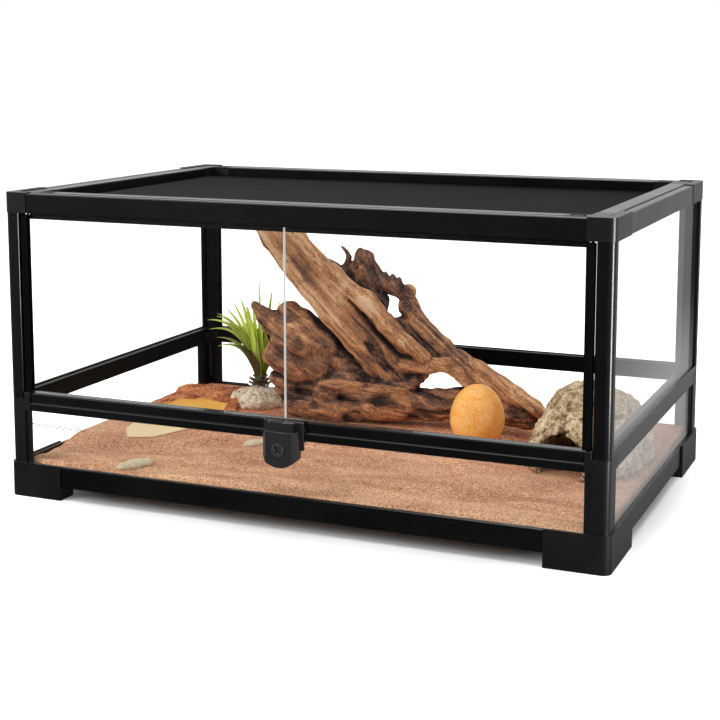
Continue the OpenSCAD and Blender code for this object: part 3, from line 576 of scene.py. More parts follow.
def sand():
    """The bed as one closed sheet, rippled and loose in front, with straight sides."""
    nx, ny = (int(round(2 * half / SAND_STEP)) for half in SAND_HALF)
    x, y = np.meshgrid(np.linspace(-SAND_HALF[0], SAND_HALF[0], nx + 1),
                       np.linspace(-SAND_HALF[1], SAND_HALF[1], ny + 1), indexing="ij")
    z, level = sand_height(x, y)
    bend = 14 * drift(x / 70, y / 70, 0.5, 3)
    ripple = drift((x + bend) / 42, (y + 0.5 * bend) / 11, 2.5, 4)
    small = drift(x / 9, y / 6, 4.5, 5)
    crest = 1.5 * ripple + 0.35 * small + 0.15 * drift(x / 3.1, y / 3.1, 1.5, 6)
    front = 1 - level
    z = z + crest * (0.25 + 0.75 * front)
    row = ny + 1
    index = np.arange((nx + 1) * row).reshape(nx + 1, row)
    quads = np.stack([index[:-1, :-1], index[1:, :-1], index[1:, 1:], index[:-1, 1:]], -1)
    rim = np.concatenate([index[:-1, 0], index[-1, :-1], index[:0:-1, -1], index[0, :0:-1]])
    top = np.stack([x, y, z], -1).reshape(-1, 3)
    base = top[rim].copy()
    base[:, 2] = SAND_FLOOR
    count = len(top)
    low = np.arange(len(rim)) + count
    sides = np.stack([np.roll(rim, -1), rim, low, np.roll(low, -1)], 1)
    faces = [list(f) for f in quads.reshape(-1, 4)] + [list(f) for f in sides]
    faces.append(list(low[::-1]))
    depth = ease((y + 30 + 40 * ease((np.abs(x + 10) - 110) / 55)) / 120).reshape(-1)
    crest = np.clip(0.5 + 0.5 * crest.reshape(-1), 0, 1)
    return piece("sand_surface", np.vstack([top, base]), faces, loose_sand(), "sand",
                 stands_for=["sand_bed"],
                 depth=np.concatenate([depth, depth[rim]]),
                 crest=np.concatenate([crest, crest[rim]]))


# ---------- wood ----------

# Balls along each limb: x, y, z, radius.
TRUNK = [(-159, 70, 264, 20), (-137, 71, 241, 22), (-106, 72, 203, 23), (-79, 74, 182, 24),
         (-55, 76, 156, 23), (-34, 77, 135, 22), (-13, 78, 114, 22), (7, 78, 100, 18),
         (22, 78, 95, 13)]
LOWER_RIDGE = [(-121, 57, 208, 9), (-93, 56, 182, 10), (-67, 57, 154, 11), (-42, 58, 127, 11),
               (-21, 60, 102, 10), (-1, 62, 90, 8), (14, 64, 86, 6)]
UPPER_RIDGE = [(-112, 60, 238, 9), (-84, 60, 208, 10), (-55, 61, 184, 9), (-28, 62, 171, 9),
               (-7, 62, 150, 9), (16, 63, 128, 9), (37, 64, 115, 8)]
BAND = [(9, 86, 178, 8), (11, 85, 163, 11), (18, 84, 147, 13), (32, 83, 133, 14),
        (49, 82, 121, 14), (68, 82, 107, 14), (91, 81, 96, 14), (112, 80, 87, 13),
        (132, 79, 77, 12), (153, 78, 68, 9), (165, 77, 62, 6)]
FIN = [(-84, 86, 203, 8), (-68, 86, 194, 9), (-50, 86, 198, 11), (-36, 86, 198, 13),
       (-24, 86, 187, 10.5), (-9, 86, 184, 9), (3, 86, 177, 8)]
FIN_LOW = [(-47, 84, 188, 12), (-32, 84, 176, 11), (-20, 84, 168, 9), (-15, 83, 157, 5)]
PEAKS = [[(-46, 86, 205, 8), (-46, 87, 217, 6.5), (-46.5, 87, 221.5, 3.5)],
         [(-36, 86, 203, 9), (-38, 87, 215, 7), (-40, 87, 219, 4.5)],
         [(-19, 86, 187, 7), (-17.5, 87, 196, 3.2), (-17.4, 87, 199.5, 1.6)],
         [(-9, 86, 185, 8), (-9, 87, 194, 3.5), (-9.2, 87, 198, 1.6)],
         [(-2, 86, 182, 8), (-1.5, 87, 192, 3.2), (-1.4, 87, 194.5, 1.5)]]
HORN = [(-64, 86, 199, 5), (-62, 86, 206, 3.6), (-59.8, 86, 213.5, 2.9), (-62, 86, 219, 2.3),
        (-65.5, 86, 222.5, 1.7), (-68.6, 86, 225, 1.1)]
BRIDGE = [(14, 68, 105, 12), (39, 68, 107, 10), (59, 70, 109, 9), (73, 73, 100, 8),
          (83, 76, 88, 9)]
STUMP = [(-157, 52, 158, 5), (-147, 53, 149, 8), (-135, 54, 138, 13), (-119, 56, 125, 22),
         (-98, 57, 124, 24), (-76, 59, 119, 17), (-62, 62, 110, 9)]
STUMP_TOP = [(-138, 60, 142, 10), (-118, 62, 154, 10), (-104, 62, 145, 12), (-80, 62, 130, 12)]
STUMP_LOW = [(-141, 54, 105, 9), (-125, 55, 106, 19), (-106, 57, 98, 22), (-82, 58, 99, 20),
             (-67, 60, 98, 12)]
BASE_LEFT = [(-134, 62, 79, 7), (-120, 60, 71, 14), (-111, 58, 54, 15), (-86, 58, 52, 20),
             (-62, 58, 51, 19), (-38, 57, 48, 12)]
BASE_KNOBS = [(-95, 60, 73, 13), (-65, 55, 75, 15), (-52, 54, 82, 13), (-33, 54, 75, 12),
              (-10, 56, 76, 10), (12, 60, 79, 9), (25, 64, 87, 8)]
BASE_LOG = [(-44, 62, 59, 18), (-17, 64, 61, 20), (12, 68, 63, 19), (42, 72, 63, 17),
            (72, 76, 65, 17), (100, 78, 68, 17), (125, 79, 62, 16), (144, 79, 57, 12)]
CORE = [(-84, 66, 112, 19), (-62, 68, 104, 18), (-42, 70, 90, 17), (-15, 70, 80, 14),
        (10, 70, 82, 12)]
WEB = [(-14, 80, 140, 10), (2, 82, 142, 10), (18, 82, 136, 12)]
# Each group of limbs: its balls, fillet, how weathered and light its wood is, the slope of its
# grain in degrees, and how deep its lumps, channels and cracks are in mm.
WOOD = [
    ([TRUNK, LOWER_RIDGE, UPPER_RIDGE], 5.0, 0.74, -43, 1.2, 2.1, 1.7),
    ([BRIDGE], 4.0, 0.70, -12, 1.0, 1.4, 1.6),
    ([BAND, WEB], 4.0, 0.63, -38, 1.2, 2.0, 2.2),
    ([FIN, FIN_LOW], 2.5, 0.56, -66, 0.8, 1.7, 1.8),
    ([HORN] + PEAKS, 2.0, 0.50, -66, 0.2, 0.5, 0.5),
    ([STUMP, STUMP_TOP, STUMP_LOW], 5.0, 0.54, -30, 2.4, 1.2, 1.4),
    ([BASE_LEFT, BASE_KNOBS, BASE_LOG, CORE], 5.0, 0.45, -4, 2.4, 2.2, 2.2),
]


# Holes through the wood and the knot hole in its stump: balls, and the fillet of the rim.
WOOD_HOLES = [([(-2, 60, 165, 4.6), (-8, 110, 157, 4.6)], 1.5),
              ([(39, 30, 84, 6), (39, 120, 84, 6)], 2.0),
              ([(-138, 30, 127, 3.2), (-137, 56, 126, 2.5), (-140, 60, 117, 2.5)], 2.0)]
WOOD_BLOCK = ((-190, 28, 38), (176, 118, 287), 1.5)


def grain_lines(x, z, slope):
    """Place along the grain and across it."""
    turn = np.radians(slope)
    return x * np.cos(turn) + z * np.sin(turn), z * np.cos(turn) - x * np.sin(turn)


def wood_relief(x, y, z, slope, lump_depth, channel_depth, crack_depth):
    """Lumps, and channels and cracks that run along the grain."""
    along, across = grain_lines(x, z, slope)
    across = across + 6 * drift(along / 60, across / 26, y / 26, 1)
    channels = drift(along / 90, across / 13, y / 17, 2)
    cracks = ease(1 - np.abs(drift(along / 60, across / 7, y / 10, 3)) * 3.6)
    lumps = drift(x / 24, y / 20, z / 24, 4) + 0.5 * drift(x / 11, y / 9, z / 11, 7)
    fine = drift(along / 20, across / 3.4, y / 4.2, 5)
    return (channel_depth * channels + lump_depth * lumps
            - crack_depth * (cracks - 0.3 * fine))


def driftwood():
    """The limbs, each group with its own grain, grown together into one log."""
    wood = Lump(*WOOD_BLOCK)
    groups = []
    for limbs, soft, _, *grain in WOOD:
        group = Lump(*WOOD_BLOCK)
        for balls in limbs:
            group.limb(balls, soft)
        group.press(lambda x, y, z: wood_relief(x, y, z, *grain), 9.0)
        groups.append(group.away)
        wood.away = knit(wood.away, group.away, 3.0)
    for balls, rim in WOOD_HOLES:
        wood.limb(balls, rim, hollow=True)
    wood.stand(BED + SEAT)
    points, faces = wood.skin()
    gaps = np.stack([wood.sample(points, away) for away in groups])
    pull = np.exp(-gaps / 2.5)
    lightness = np.array([group[2] for group in WOOD]) @ pull / pull.sum(0)
    nearest = np.argmin(gaps, 0)
    gaps.sort(0)
    seam = ease(1 - (gaps[1] - gaps[0]) / 3)
    out = wood.outward(points)
    hollow = np.clip(1 - wood.sample(points + 6 * out) / 6, -0.3, 1)
    x, y, z = points.T
    along, across = grain_lines(x, z, np.array([group[3] for group in WOOD])[nearest])
    # Painted shade: darker in hollows and where two limbs meet, on top of each group's own lightness.
    worn = lightness - 0.8 * hollow - 0.12 * seam + 0.12 * drift(x / 34, y / 20, z / 34, 9)
    return piece("driftwood_body", points, faces, bare_wood(), "wood_grain",
                 stands_for=["driftwood"], worn=np.clip(worn, 0, 1),
                 along=along * MM, across=across * MM, depth=(y + 40 * nearest) * MM)


# ---------- stones ----------

# Balls round the cave's outside, and from its mouth round its hollow.
CAVE_SHELL = [(227, -10, 48, 52), (232, 37, 52, 52), (228, 8, 72, 44), (227, -10, 48, 52)]
CAVE_HOLLOW = [(212, -86, 54, 20), (228, 28, 46, 37), (226, 6, 66, 29), (228, 28, 46, 37)]


def cave():
    """A pitted rock shell with a low mouth at the front."""
    rock = Lump((166, -62, 34), (292, 102, 124), 1.5)
    rock.limb(CAVE_SHELL, 6.0)

    def relief(x, y, z):
        knobs = drift(x / 15, y / 15, z / 13, 11) * 2.4
        pits = -2.6 * ease(drift(x / 6, y / 6, z / 6, 12) * 1.6)
        crust = drift(x / 7, y / 7, z / 7, 14) * 1.3
        return knobs + pits + crust + 1.2 * drift(x / 3.2, y / 3.2, z / 3.2, 13)
    rock.press(relief)
    rock.limb(CAVE_HOLLOW, 3.0, hollow=True)
    rock.stand(BED_RIGHT + SEAT)
    points, faces = rock.skin()
    # Painted shade: darker where the relief is low.
    worn = 0.5 + 0.10 * relief(*points.T)
    return piece("cave_rock", points, faces,
                 rough_stone("cave_stone", tone(64, 46, 30), tone(164, 136, 100),
                             tone(230, 206, 172), 150, 2.4, 0.25),
                 "cave_rock", stands_for=["rock_cave"], worn=np.clip(worn, 0, 1))


def outline_gap(x, y, corners):
    """Distance outside a convex outline that runs clockwise or anticlockwise; negative inside."""
    corners = np.array(corners, float)
    middle = corners.mean(0)
    gap = -1e9
    for a, b in zip(corners, np.roll(corners, -1, 0)):
        out = np.array([b[1] - a[1], a[0] - b[0]]) / np.linalg.norm(b - a)
        if out @ (a - middle) < 0:
            out = -out
        gap = np.maximum(gap, (x - a[0]) * out[0] + (y - a[1]) * out[1])
    return gap


# Outer corners of the dish, with the height of its edge there, and corners of its basin.
DISH_RIM = [(-259, -54, 42.5), (-268, 20, 43.5), (-275, 52, 46), (-279, 73, 47.5), (-281, 98, 49),
            (-266, 121, 50), (-214, 128, 50), (-200, 116, 49), (-167, 12, 45.5), (-204, -88, 41.5),
            (-229, -98, 41.5)]
BASIN_RIM = [(-263, -58), (-254, 24), (-249, 43), (-228, 52), (-198, 53), (-184, 15), (-200, -96),
             (-232, -106)]
PLANT_ROCK = [(-191, 85, 44, 12), (-168, 80, 40, 23), (-156, 88, 40, 17)]


def dish_block(x, y, z):
    """The dish before its basin is hollowed out."""
    rim = np.array(DISH_RIM, float)
    weight = [1 / (((x - r[0]) ** 2 + (y - r[1]) ** 2) ** 1.2 + 40) for r in rim]
    height = sum(w * r[2] for w, r in zip(weight, rim)) / sum(weight)
    side = outline_gap(x, y, rim[:, :2]) + 0.25 * (z - 44)
    return -knit(-side, height - z, 3.0)


def dish_basin(x, y, z):
    """Outward distance from the basin's sloping wall, and the height of its floor."""
    lean = (z - 44) / 45
    wall = outline_gap(x + 3 * lean, y + 2 * lean, BASIN_RIM) - 3 - 5 * lean
    return wall, 42.0 + 2.0 * ease((y + 60) / 90)


def dish_relief(x, y, z):
    """Lumps of the dish's rocky outside."""
    return (1.8 * drift(x / 17, y / 17, z / 12, 31) + 1.5 * drift(x / 7, y / 7, z / 5, 32)
            + 0.7 * drift(x / 2.8, y / 2.8, z / 2.8, 33))


def dish():
    """A low rock with a shallow glazed basin, notched where the plant's rock stands."""
    clay = Lump((-288, -106, 38), (-156, 136, 60), 1.3)
    x, y, z = np.meshgrid(*clay.axes, indexing="ij", sparse=True)
    clay.away = dish_block(x, y, z).astype(np.float32)
    clay.press(lambda x, y, z: dish_relief(x, y, z) * (0.2 + 0.8 * ease((y + 50) / 60)))
    wall, floor = dish_basin(x, y, z)
    basin = -knit(-wall, z - floor, 3.0)
    clay.away = -knit(-clay.away, basin, 1.5)
    clay.limb([(x, y, z, r + 1) for x, y, z, r in PLANT_ROCK[:2] + PLANT_ROCK[:1]], 1.0,
              hollow=True)
    clay.stand(BED + SEAT)
    points, faces = clay.skin()
    wall, floor = dish_basin(*points.T)
    front = ease((-30 - points[:, 1]) / 16)
    inside = (1 - ease((wall - 0.2) / 2.2)) * ease((points[:, 2] - floor + 1.5) / 1.0)
    inside = np.maximum(inside, front)
    # Painted shade: darker where the relief is low.
    worn = 0.5 + 0.15 * dish_relief(*points.T)
    return piece("dish_body", points, faces, dish_clay(), "dish_clay",
                 stands_for=["water_dish"], basin=inside, worn=np.clip(worn, 0, 1))


def planted_rock():
    """The pale rock that the plant grows from."""
    rock = Lump((-214, 48, 38), (-130, 116, 72), 1.2)
    rock.limb(PLANT_ROCK + PLANT_ROCK[:1], 4.0)

    def relief(x, y, z):
        return (1.5 * drift(x / 9, y / 9, z / 8, 21) + 1.0 * drift(x / 3.8, y / 3.8, z / 3.8, 22)
                + 0.6 * drift(x / 2.0, y / 2.0, z / 2.0, 23))
    rock.press(relief)
    rock.stand(BED + SEAT)
    points, faces = rock.skin()
    # Painted shade: darker where the relief is low.
    worn = 0.55 + 0.16 * relief(*points.T)
    return piece("planted_rock", points, faces,
                 rough_stone("pale_stone", tone(112, 84, 60), tone(216, 186, 152),
                             tone(255, 244, 222), 300, 2.2, 0.5),
                 "pale_rock", stands_for=["plant_rock"], worn=np.clip(worn, 0, 1))


EGG = (114.0, 9.0)
EGG_HIGH = 64.0
EGG_HALF = 27.5


def egg():
    """An egg-shaped stone on end, flat where it stands."""
    foot, low = BED + SEAT, 0.44 * EGG_HIGH
    angles = np.radians(np.linspace(-68, 90, 40))
    radius = EGG_HALF * np.cos(angles)
    half_high = np.where(angles < 0, low, EGG_HIGH - low)
    level = foot + low + half_high * np.sin(angles)
    n = 72
    points = [(EGG[0] + r * c, EGG[1] + r * s, z)
              for r, z in zip(radius[:-1], level[:-1]) for c, s in circle(n)]
    faces = [(i * n + j, i * n + (j + 1) % n, (i + 1) * n + (j + 1) % n, (i + 1) * n + j)
             for i in range(len(radius) - 2) for j in range(n)]
    points += [(EGG[0], EGG[1], foot + EGG_HIGH), (EGG[0], EGG[1], foot)]
    last = (len(radius) - 2) * n
    faces += [(last + j, last + (j + 1) % n, len(points) - 2) for j in range(n)]
    faces += [((j + 1) % n, j, len(points) - 1) for j in range(n)]
    points = np.array(points)
    points[:, 2] = np.maximum(points[:, 2], foot)
    return piece("egg_shape", points, faces, speckled_egg(), "egg_orange",
                 stands_for=["egg_stone"])


# Each pebble: x, y, its turn in degrees, and its length, width and height above the sand.
PEBBLES = [(-179, -164, 62, 42, 19, 5.2), (-107, -50, 55, 26, 13, 4.6)]


def pebbles():
    """Two flat pebbles, sunk a little into the sand."""
    points, faces = [], []
    for x, y, turn, long, wide, tall in PEBBLES:
        seat = float(sand_height(np.array(x), np.array(y))[0]) + 0.4
        c, s = math.cos(math.radians(turn)), math.sin(math.radians(turn))
        rings = []
        for up in np.radians(np.linspace(-24, 90, 15)):
            ring = []
            for a, b in circle(28):
                u = 0.5 * long * a * math.cos(up)
                v = 0.5 * wide * b * math.cos(up) * (1 + 0.12 * a)
                ring.append((x + u * c - v * s, y + u * s + v * c, seat + tall * math.sin(up)))
            rings.append(ring)
        loft(points, faces, rings)
    points = np.array(points)
    points[:, 2] += 0.35 * drift(points[:, 0] / 7, points[:, 1] / 7, 0.3, 41)
    return piece("pebble_pair", points, faces,
                 rough_stone("smooth_stone", tone(160, 140, 112), tone(206, 188, 158),
                             tone(228, 212, 184), 90, 0.25, 0.1),
                 "pale_rock", stands_for=["pebbles"], worn=np.full(len(points), 0.5))


# ---------- plant ----------

# Leaf tips x, y, z, how far the leaf arches, its width, and its age from 0 to 1.
LEAVES = [
    (-170, 90, 187, 4, 6.0, 0.0), (-156, 94, 173, 6, 6.5, 0.0), (-145, 96, 164, 8, 6.5, 0.15),
    (-194, 88, 161, 10, 8.0, 0.0), (-204, 86, 158, 14, 6.5, 0.05), (-211, 84, 148, 18, 6.5, 0.1),
    (-218, 78, 142, 22, 6.0, 0.35), (-230, 76, 134, 30, 6.5, 0.25), (-226, 72, 124, 30, 5.5, 0.45),
    (-229, 96, 135, 26, 5.5, 0.35), (-213, 66, 117, 20, 6.0, 0.7), (-209, 62, 108, 22, 6.5, 0.45),
    (-199, 70, 133, 14, 5.5, 0.45), (-189, 60, 111, 14, 7.0, 0.85), (-175, 56, 108, 12, 8.0, 0.9),
    (-162, 66, 121, 8, 9.0, 0.55), (-181, 80, 154, 8, 8.5, 0.0), (-181, 92, 162, 8, 7.5, 0.0),
    (-169, 98, 157, 8, 7.5, 0.0), (-196, 104, 150, 14, 7.0, 0.1), (-184, 118, 142, 18, 7.0, 0.1),
    (-160, 122, 148, 16, 7.0, 0.0), (-138, 112, 140, 16, 7.0, 0.1), (-150, 128, 126, 20, 6.5, 0.2),
    (-206, 112, 122, 20, 6.5, 0.35), (-176, 134, 118, 20, 6.5, 0.3), (-132, 120, 118, 20, 6.5, 0.3),
    (-204, 92, 104, 16, 7.0, 0.8), (-190, 122, 100, 16, 7.0, 0.9), (-150, 116, 98, 14, 7.0, 0.9),
    (-176, 76, 138, 6, 8.5, 0.0), (-166, 86, 150, 4, 8.5, 0.0), (-190, 78, 124, 12, 7.5, 0.1),
]


# Across a leaf: sideways and out of its face, in half widths.
LEAF_FOLD = [(-1, 0.30), (-0.5, 0.08), (0, -0.06), (0.5, 0.08), (1, 0.30), (0, -0.22)]
LEAF_STEPS = 16
PLANT = (-167.0, 84.0)
ROOT_HEIGHT = 72.0
# Rows of scales round the crown: height, reach and how many; and the stem's heights and radii.
CROWN = [(62, 10, 9), (66, 14, 12), (70, 13.5, 12), (73, 9, 9)]
STEM = [(57, 5.2), (64, 5.4), (72, 6.5), (75, 4.0)]


def plant():
    """Arching strap leaves from a scaly crown, on a short stem that goes down into its rock."""
    points, faces, age, up = [], [], [], []
    root = np.array((*PLANT, ROOT_HEIGHT))
    for number, (x, y, z, arch, width, old) in enumerate(LEAVES):
        tip = np.array((x, y, z), float)
        lean = np.array((x - root[0], y - root[1], 0.0))
        lean /= np.linalg.norm(lean) + 1e-9
        base = root + lean * 3.5
        knee = base + (tip - base) * 0.42 + np.array((0, 0, 1.4)) * arch - lean * arch * 0.35
        facing = np.array((0.35 * math.sin(number * 2.4), -0.75, 0.65)) + 0.25 * lean
        rings = []
        for i in range(LEAF_STEPS + 1):
            t = i / LEAF_STEPS
            spot = (1 - t) ** 2 * base + 2 * t * (1 - t) * knee + t * t * tip
            run = 2 * (1 - t) * (knee - base) + 2 * t * (tip - knee)
            run /= np.linalg.norm(run)
            edge = np.cross(run, facing)
            edge /= np.linalg.norm(edge)
            face = np.cross(edge, run)
            half = 0.5 * width * (1 - t ** 2.2) * (0.6 + 0.4 * min(t * 4, 1)) + 0.12
            rings.append([spot + edge * across * half + face * fold * half
                          for across, fold in LEAF_FOLD])
            wilt = min(1.0, old + 0.35 * (1 - t) ** 3 + 0.3 * max(0.0, t - 0.6))
            age += [wilt] * len(LEAF_FOLD)
            up += [0.5 + 0.5 * math.sin(number * 5.1) * (1 - t) + 0.3 * t] * len(LEAF_FOLD)
        loft(points, faces, rings)
    for row, (level, reach, count) in enumerate(CROWN):
        for c, s in circle(count, 0.5 * (row % 2)):
            loft(points, faces, [
                [(PLANT[0] + c * out - s * across * half, PLANT[1] + s * out + c * across * half,
                  z + lift) for across, lift in ((-1, 0), (0, 0.9), (1, 0), (0, -0.9))]
                for out, half, z in ((1, 2.6, level), (reach * 0.6, 2.4, level - 1.0),
                                     (reach, 0.4, level + 1.5))])
    loft(points, faces, [[(PLANT[0] + r * c, PLANT[1] + r * s, z) for c, s in circle(12)]
                         for z, r in STEM])
    bare = len(points) - len(age)
    return piece("plant_leaves", points, faces, strap_leaf(), "leaf_green",
                 stands_for=["plant"], age=age + [1.0] * bare, up=up + [0.0] * bare)


# ---------- small fittings of the case ----------

# Section of the right lip, seen from above, and the heights of its ends.
LIP_SECTION = [(282.5, -184.2), (280.2, -184.4), (279.6, -184.1), (280.2, -183.8), (282.5, -182.6)]
LIP_ENDS = (100.0, 279.5)
# The printed line: its left end, length, height and width, and the height and length of a wave.
LINE_LEFT, LINE_LONG, LINE_HEIGHT, LINE_WIDE = -284.5, 70.0, 71.5, 0.9
WAVE_HIGH, WAVE_LONG = 1.5, 7.583
LINE_STEPS = 240
# The screen's wires: distance from one to the next, half their thickness, and the two layers.
WIRE_PITCH, WIRE_HALF = 1.15, 0.19
WIRE_LEVELS = (0.25, 0.63)
WIRE_MARGIN = 0.2


def node_box(name):
    """The lowest and highest corner of a CAD piece, in case-centred mm."""
    return [np.array(corner) / MM - (0, CASE_BACK, 0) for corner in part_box(name)]


def door_lips():
    """Thin rubber lips on the front posts that close the gap behind the doors' hinge edges."""
    points, faces = [], []
    for side in (-1, 1):
        loft(points, faces, [[(side * x, y, z) for x, y in LIP_SECTION] for z in LIP_ENDS],
             flip=side > 0)
    rubber = smeared("lip_rubber", (0.004, 0.004, 0.004), (0.009, 0.009, 0.009), 600, 0.7, 0.1)
    return piece("door_lips", points, faces, rubber, "seal", smooth=False)


def level_line():
    """A wavy line printed on the outside of the front tray glass, at the highest water level."""
    front = node_box("front_tray_glass")[0][1] - 0.04
    swing = 2 * math.pi * LINE_LONG / WAVE_LONG
    points, faces = [], []
    for i in range(LINE_STEPS + 1):
        share = i / LINE_STEPS
        x = LINE_LEFT + LINE_LONG * share
        z = LINE_HEIGHT + WAVE_HIGH * math.sin(swing * share)
        tilt = math.atan(WAVE_HIGH * swing / LINE_LONG * math.cos(swing * share))
        for across in (-LINE_WIDE / 2, LINE_WIDE / 2):
            points.append((x - across * math.sin(tilt), front, z + across * math.cos(tilt)))
        if i:
            n = 2 * i
            faces.append((n - 2, n, n + 1, n - 1))
    ink = smeared("printed_line", (0.07, 0.07, 0.07), (0.14, 0.14, 0.14), 900, 0.6, 0.5)
    return piece("level_line", points, faces, ink, "seal", smooth=False)


def screen():
    """Straight wires in two layers, just wider apart than they are thick."""
    low, high = node_box("screen_mesh")
    points, faces = [], []
    for axis in (0, 1):
        other = 1 - axis
        count = int((high[other] - low[other]) / WIRE_PITCH)
        level = low[2] + WIRE_LEVELS[axis]
        for place in np.linspace(low[other] + WIRE_MARGIN, high[other] - WIRE_MARGIN, count + 1):
            rings = [[], []]
            for ring, end in zip(rings, (low[axis], high[axis])):
                for u, v in ((-1, 0), (0, -1), (1, 0), (0, 1)):
                    spot = [0.0, 0.0, level + v * WIRE_HALF]
                    spot[axis], spot[other] = end, place + u * WIRE_HALF
                    ring.append(spot)
            loft(points, faces, rings, flip=axis == 0)
    return piece("screen_wires", points, faces, woven_black(), "mesh_steel", body="cover",
                 stands_for=["screen_mesh"], smooth=False)


# ---------- frame, doors and glass ----------

# Each black finish: darkest and lightest colour, roughness, grain depth in mm, and gloss.
BLACKS = {
    "satin_black": ((0.0022, 0.0022, 0.0025), (0.004, 0.004, 0.0044), 0.24, 0.006, 0.25),
    "satin_black_inner": ((0.0022, 0.0022, 0.0025), (0.004, 0.004, 0.0044), 0.30, 0.006, 0.04),
    "moulded_black": ((0.005, 0.005, 0.0054), (0.008, 0.008, 0.0085), 0.34, 0.02, 0.30),
    "latch_black": ((0.012, 0.012, 0.0135), (0.02, 0.02, 0.022), 0.26, 0.01, 0.45),
    "black_rubber": ((0.008, 0.008, 0.008), (0.014, 0.014, 0.014), 0.8, 0.03, 0.2),
}
# Pieces that face inwards are duller: how far their edges are eased, in mm.
INNER_EDGES = {"left_mid_rail": 0.35, "rear_mid_rail": 0.35, "rear_left_post": 0.35,
               "left_door_stile": 0, "right_door_stile": 0}
# Each kind of pane: its thin axis, the colour and painted glow of its cut edge, and the
# strength of its painted reflection.
GREEN_EDGE = (0.02, 0.05, 0.045)
PANES = {
    "side": (RIGHT, GREEN_EDGE, 0.0, 0.0),
    "right": (RIGHT, GREEN_EDGE, 0.0, 1.0),
    "front": (BACK, GREEN_EDGE, 0.0, 0.0),
    # The door's white, glowing cut edge is a painted highlight.
    "door": (BACK, (0.90, 0.92, 0.92), 0.45, 0.0),
    "base": (UP, GREEN_EDGE, 0.0, 0.0),
}
PANE_OF = {"base_glass": "base", "left_door_glass": "door", "left_glass": "side",
           "left_tray_glass": "side", "right_glass": "right", "right_tray_glass": "right"}


def finish_frame():
    """Gives every CAD piece that stays in view its finish."""
    rail, inner, mould, latch, pad = (satin_black(name, *look) for name, look in BLACKS.items())
    panes = {kind: clear_glass("clear_glass_" + kind, *look) for kind, look in PANES.items()}
    slots = {s["node"]: s["material_slot"] for s in frame["record"]["subparts"]}
    silicone = smeared("black_silicone", (0.006, 0.006, 0.007), (0.014, 0.014, 0.015),
                       300, 0.4, 0.2)
    finishes = {"frame_black": (rail, 0.35), "moulding_black": (mould, 0.5), "pad": (pad, 0.35),
                "seal": (silicone, 0.35), "lock_steel": (plated_steel(), 0.35)}
    for name, node in frame["nodes"].items():
        if slots[name] == "clear_glass":
            dress(node, panes[PANE_OF.get(name, "front")], 0)
        elif name.startswith("latch_"):
            dress(node, latch, 0.7)
        elif name in INNER_EDGES:
            dress(node, inner, INNER_EDGES[name])
        elif slots[name] in finishes:
            dress(node, *finishes[slots[name]])


def dress(node, finish, edge):
    """Gives a CAD piece its finish and, where edge is not 0, slightly rounded edges."""
    node.data.materials.clear()
    node.data.materials.append(finish)
    if not edge:
        return
    if "custom_normal" in node.data.attributes:
        node.data.attributes.remove(node.data.attributes["custom_normal"])
    node.data.polygons.foreach_set("use_smooth", [True] * len(node.data.polygons))
    weld = node.modifiers.new("joined", "WELD")
    weld.merge_threshold = 0.00001
    bevel = node.modifiers.new("eased_edges", "BEVEL")
    bevel.width = edge * MM
    bevel.segments = 2
    bevel.limit_method = "ANGLE"
    bevel.angle_limit = math.radians(35)
    bevel.harden_normals = True
    bevel.use_clamp_overlap = True


# ---------- studio ----------

# Each lamp: its place, aim, size and power, and whether it only shows as a highlight.
LAMPS = {
    "overhead": ((0.1, -0.2, 1.9), (0, 0, 0.1), (1.8, 1.2), 36, False),
    "front_left": ((-1.5, -1.9, 1.3), (0, 0, 0.15), (1.2, 1.2), 32, False),
    "corner_strip": ((0.82, -0.31, 0.14), (0.3, -0.2, 0.14), (0.12, 0.26), 7.0, True),
}
CAMERA_SPOT = (0.5682, -1.3567, 0.4297)
CAMERA_DOWN, CAMERA_LEFT = 7.88, 22.99      # how far it looks down and to the left, in degrees
FLOOR_REACH = 9.0


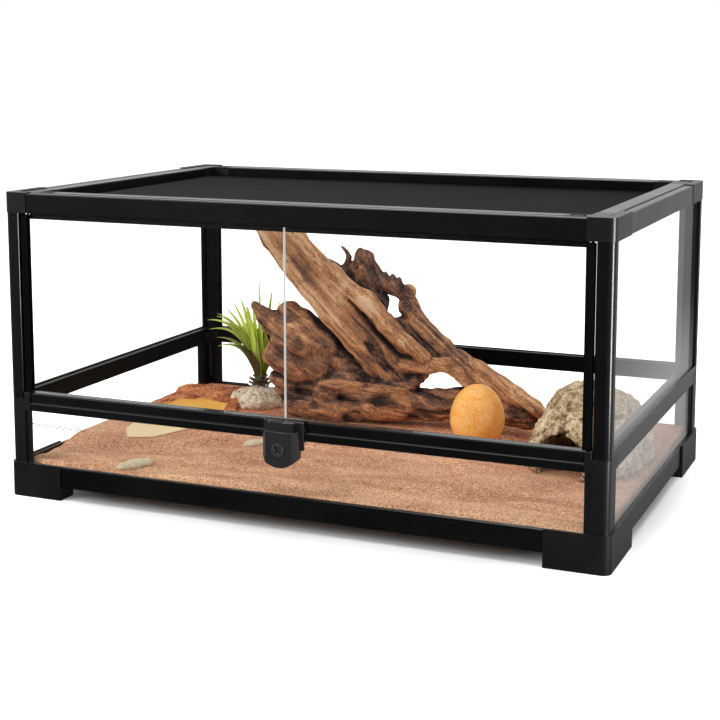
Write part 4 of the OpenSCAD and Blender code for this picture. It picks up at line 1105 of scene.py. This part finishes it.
def studio():
    """Camera, lamps, a pale surround and a floor of white paper."""
    scene = bpy.context.scene
    lens = bpy.data.cameras.new("camera")
    lens.sensor_width = 36
    lens.lens = 73.57
    lens.shift_y = -0.14
    lens.clip_end = 50
    eye = bpy.data.objects.new("camera", lens)
    eye.location = CAMERA_SPOT
    eye.rotation_euler = (math.radians(90 - CAMERA_DOWN), 0, math.radians(CAMERA_LEFT))
    scene.collection.objects.link(eye)
    scene.camera = eye
    scene.view_settings.view_transform = "Standard"

    # The surround: white to the eye, and darker where the object mirrors what lies in front.
    p = Paint("studio", bpy.data.worlds.new("studio"))
    scene.world = p.owner
    look = p.node("ShaderNodeLightPath", out="Is Camera Ray")
    towards = p.node("ShaderNodeTexCoord", out="Generated")
    behind = towards.dot((-0.39, 0.92, 0.0)).step(-0.9, 0.5, 0.12, 0.85)
    above = towards.dot(UP).step(0.1, 0.8, 0.0, 1.0)
    pale = behind + (0.9 - behind) * above
    p.done(p.node("ShaderNodeBackground", None, {
        "Color": WHITE, "Strength": look + (1 - look) * pale}))

    for name, (spot, aim, size, watts, gloss_only) in LAMPS.items():
        lamp = bpy.data.lights.new(name, "AREA")
        lamp.shape = "RECTANGLE"
        lamp.size, lamp.size_y = size
        lamp.energy = watts
        holder = bpy.data.objects.new(name, lamp)
        holder.location = spot
        reach = [a - b for a, b in zip(aim, spot)]
        flat = math.hypot(reach[0], reach[1])
        holder.rotation_euler = (math.atan2(flat, -reach[2]), 0,
                                 math.atan2(reach[1], reach[0]) - math.pi / 2)
        holder.visible_camera = False
        holder.visible_diffuse = not gloss_only
        scene.collection.objects.link(holder)

    # White paper: full white to the eye, darker where the frame's sides mirror it.
    p = Paint("white_floor")
    at = p.place()
    eye_ray, mirror_ray = (p.node("ShaderNodeLightPath", out=name)
                           for name in ("Is Camera Ray", "Is Glossy Ray"))
    paper = p.noise(at, 30, 2)
    matt = p.node("ShaderNodeBsdfDiffuse", None, {
        "Color": p.mix(paper, (0.80, 0.80, 0.80), (0.82, 0.82, 0.82))})
    far = p.node("ShaderNodeVectorMath", {"operation": "LENGTH"}, {0: at}, out="Value")
    lift = p.glow(WHITE, eye_ray * far.step(0.26, 0.42, 0.0, 0.7))
    right = at.dot(RIGHT).step(0.22, 0.42, 0.0, 0.42)
    left = at.dot((-1.0, 0.0, 0.0)).step(0.25, 0.9, 0.07, 0.34)
    lit = p.node("ShaderNodeAddShader", None, {0: matt, 1: lift})
    p.done(p.blend(mirror_ray, lit, p.glow(WHITE, right + left)))
    mesh = bpy.data.meshes.new("floor")
    square = ((-1, -1), (1, -1), (1, 1), (-1, 1))
    mesh.from_pydata([(x * FLOOR_REACH, y * FLOOR_REACH, 0) for x, y in square], [], [(0, 1, 2, 3)])
    mesh.materials.append(p.owner)
    floor = bpy.data.objects.new("floor", mesh)
    scene.collection.objects.link(floor)


finish_frame()
sand()
driftwood()
cave()
planted_rock()
dish()
egg()
pebbles()
plant()
screen()
door_lips()
level_line()
studio()
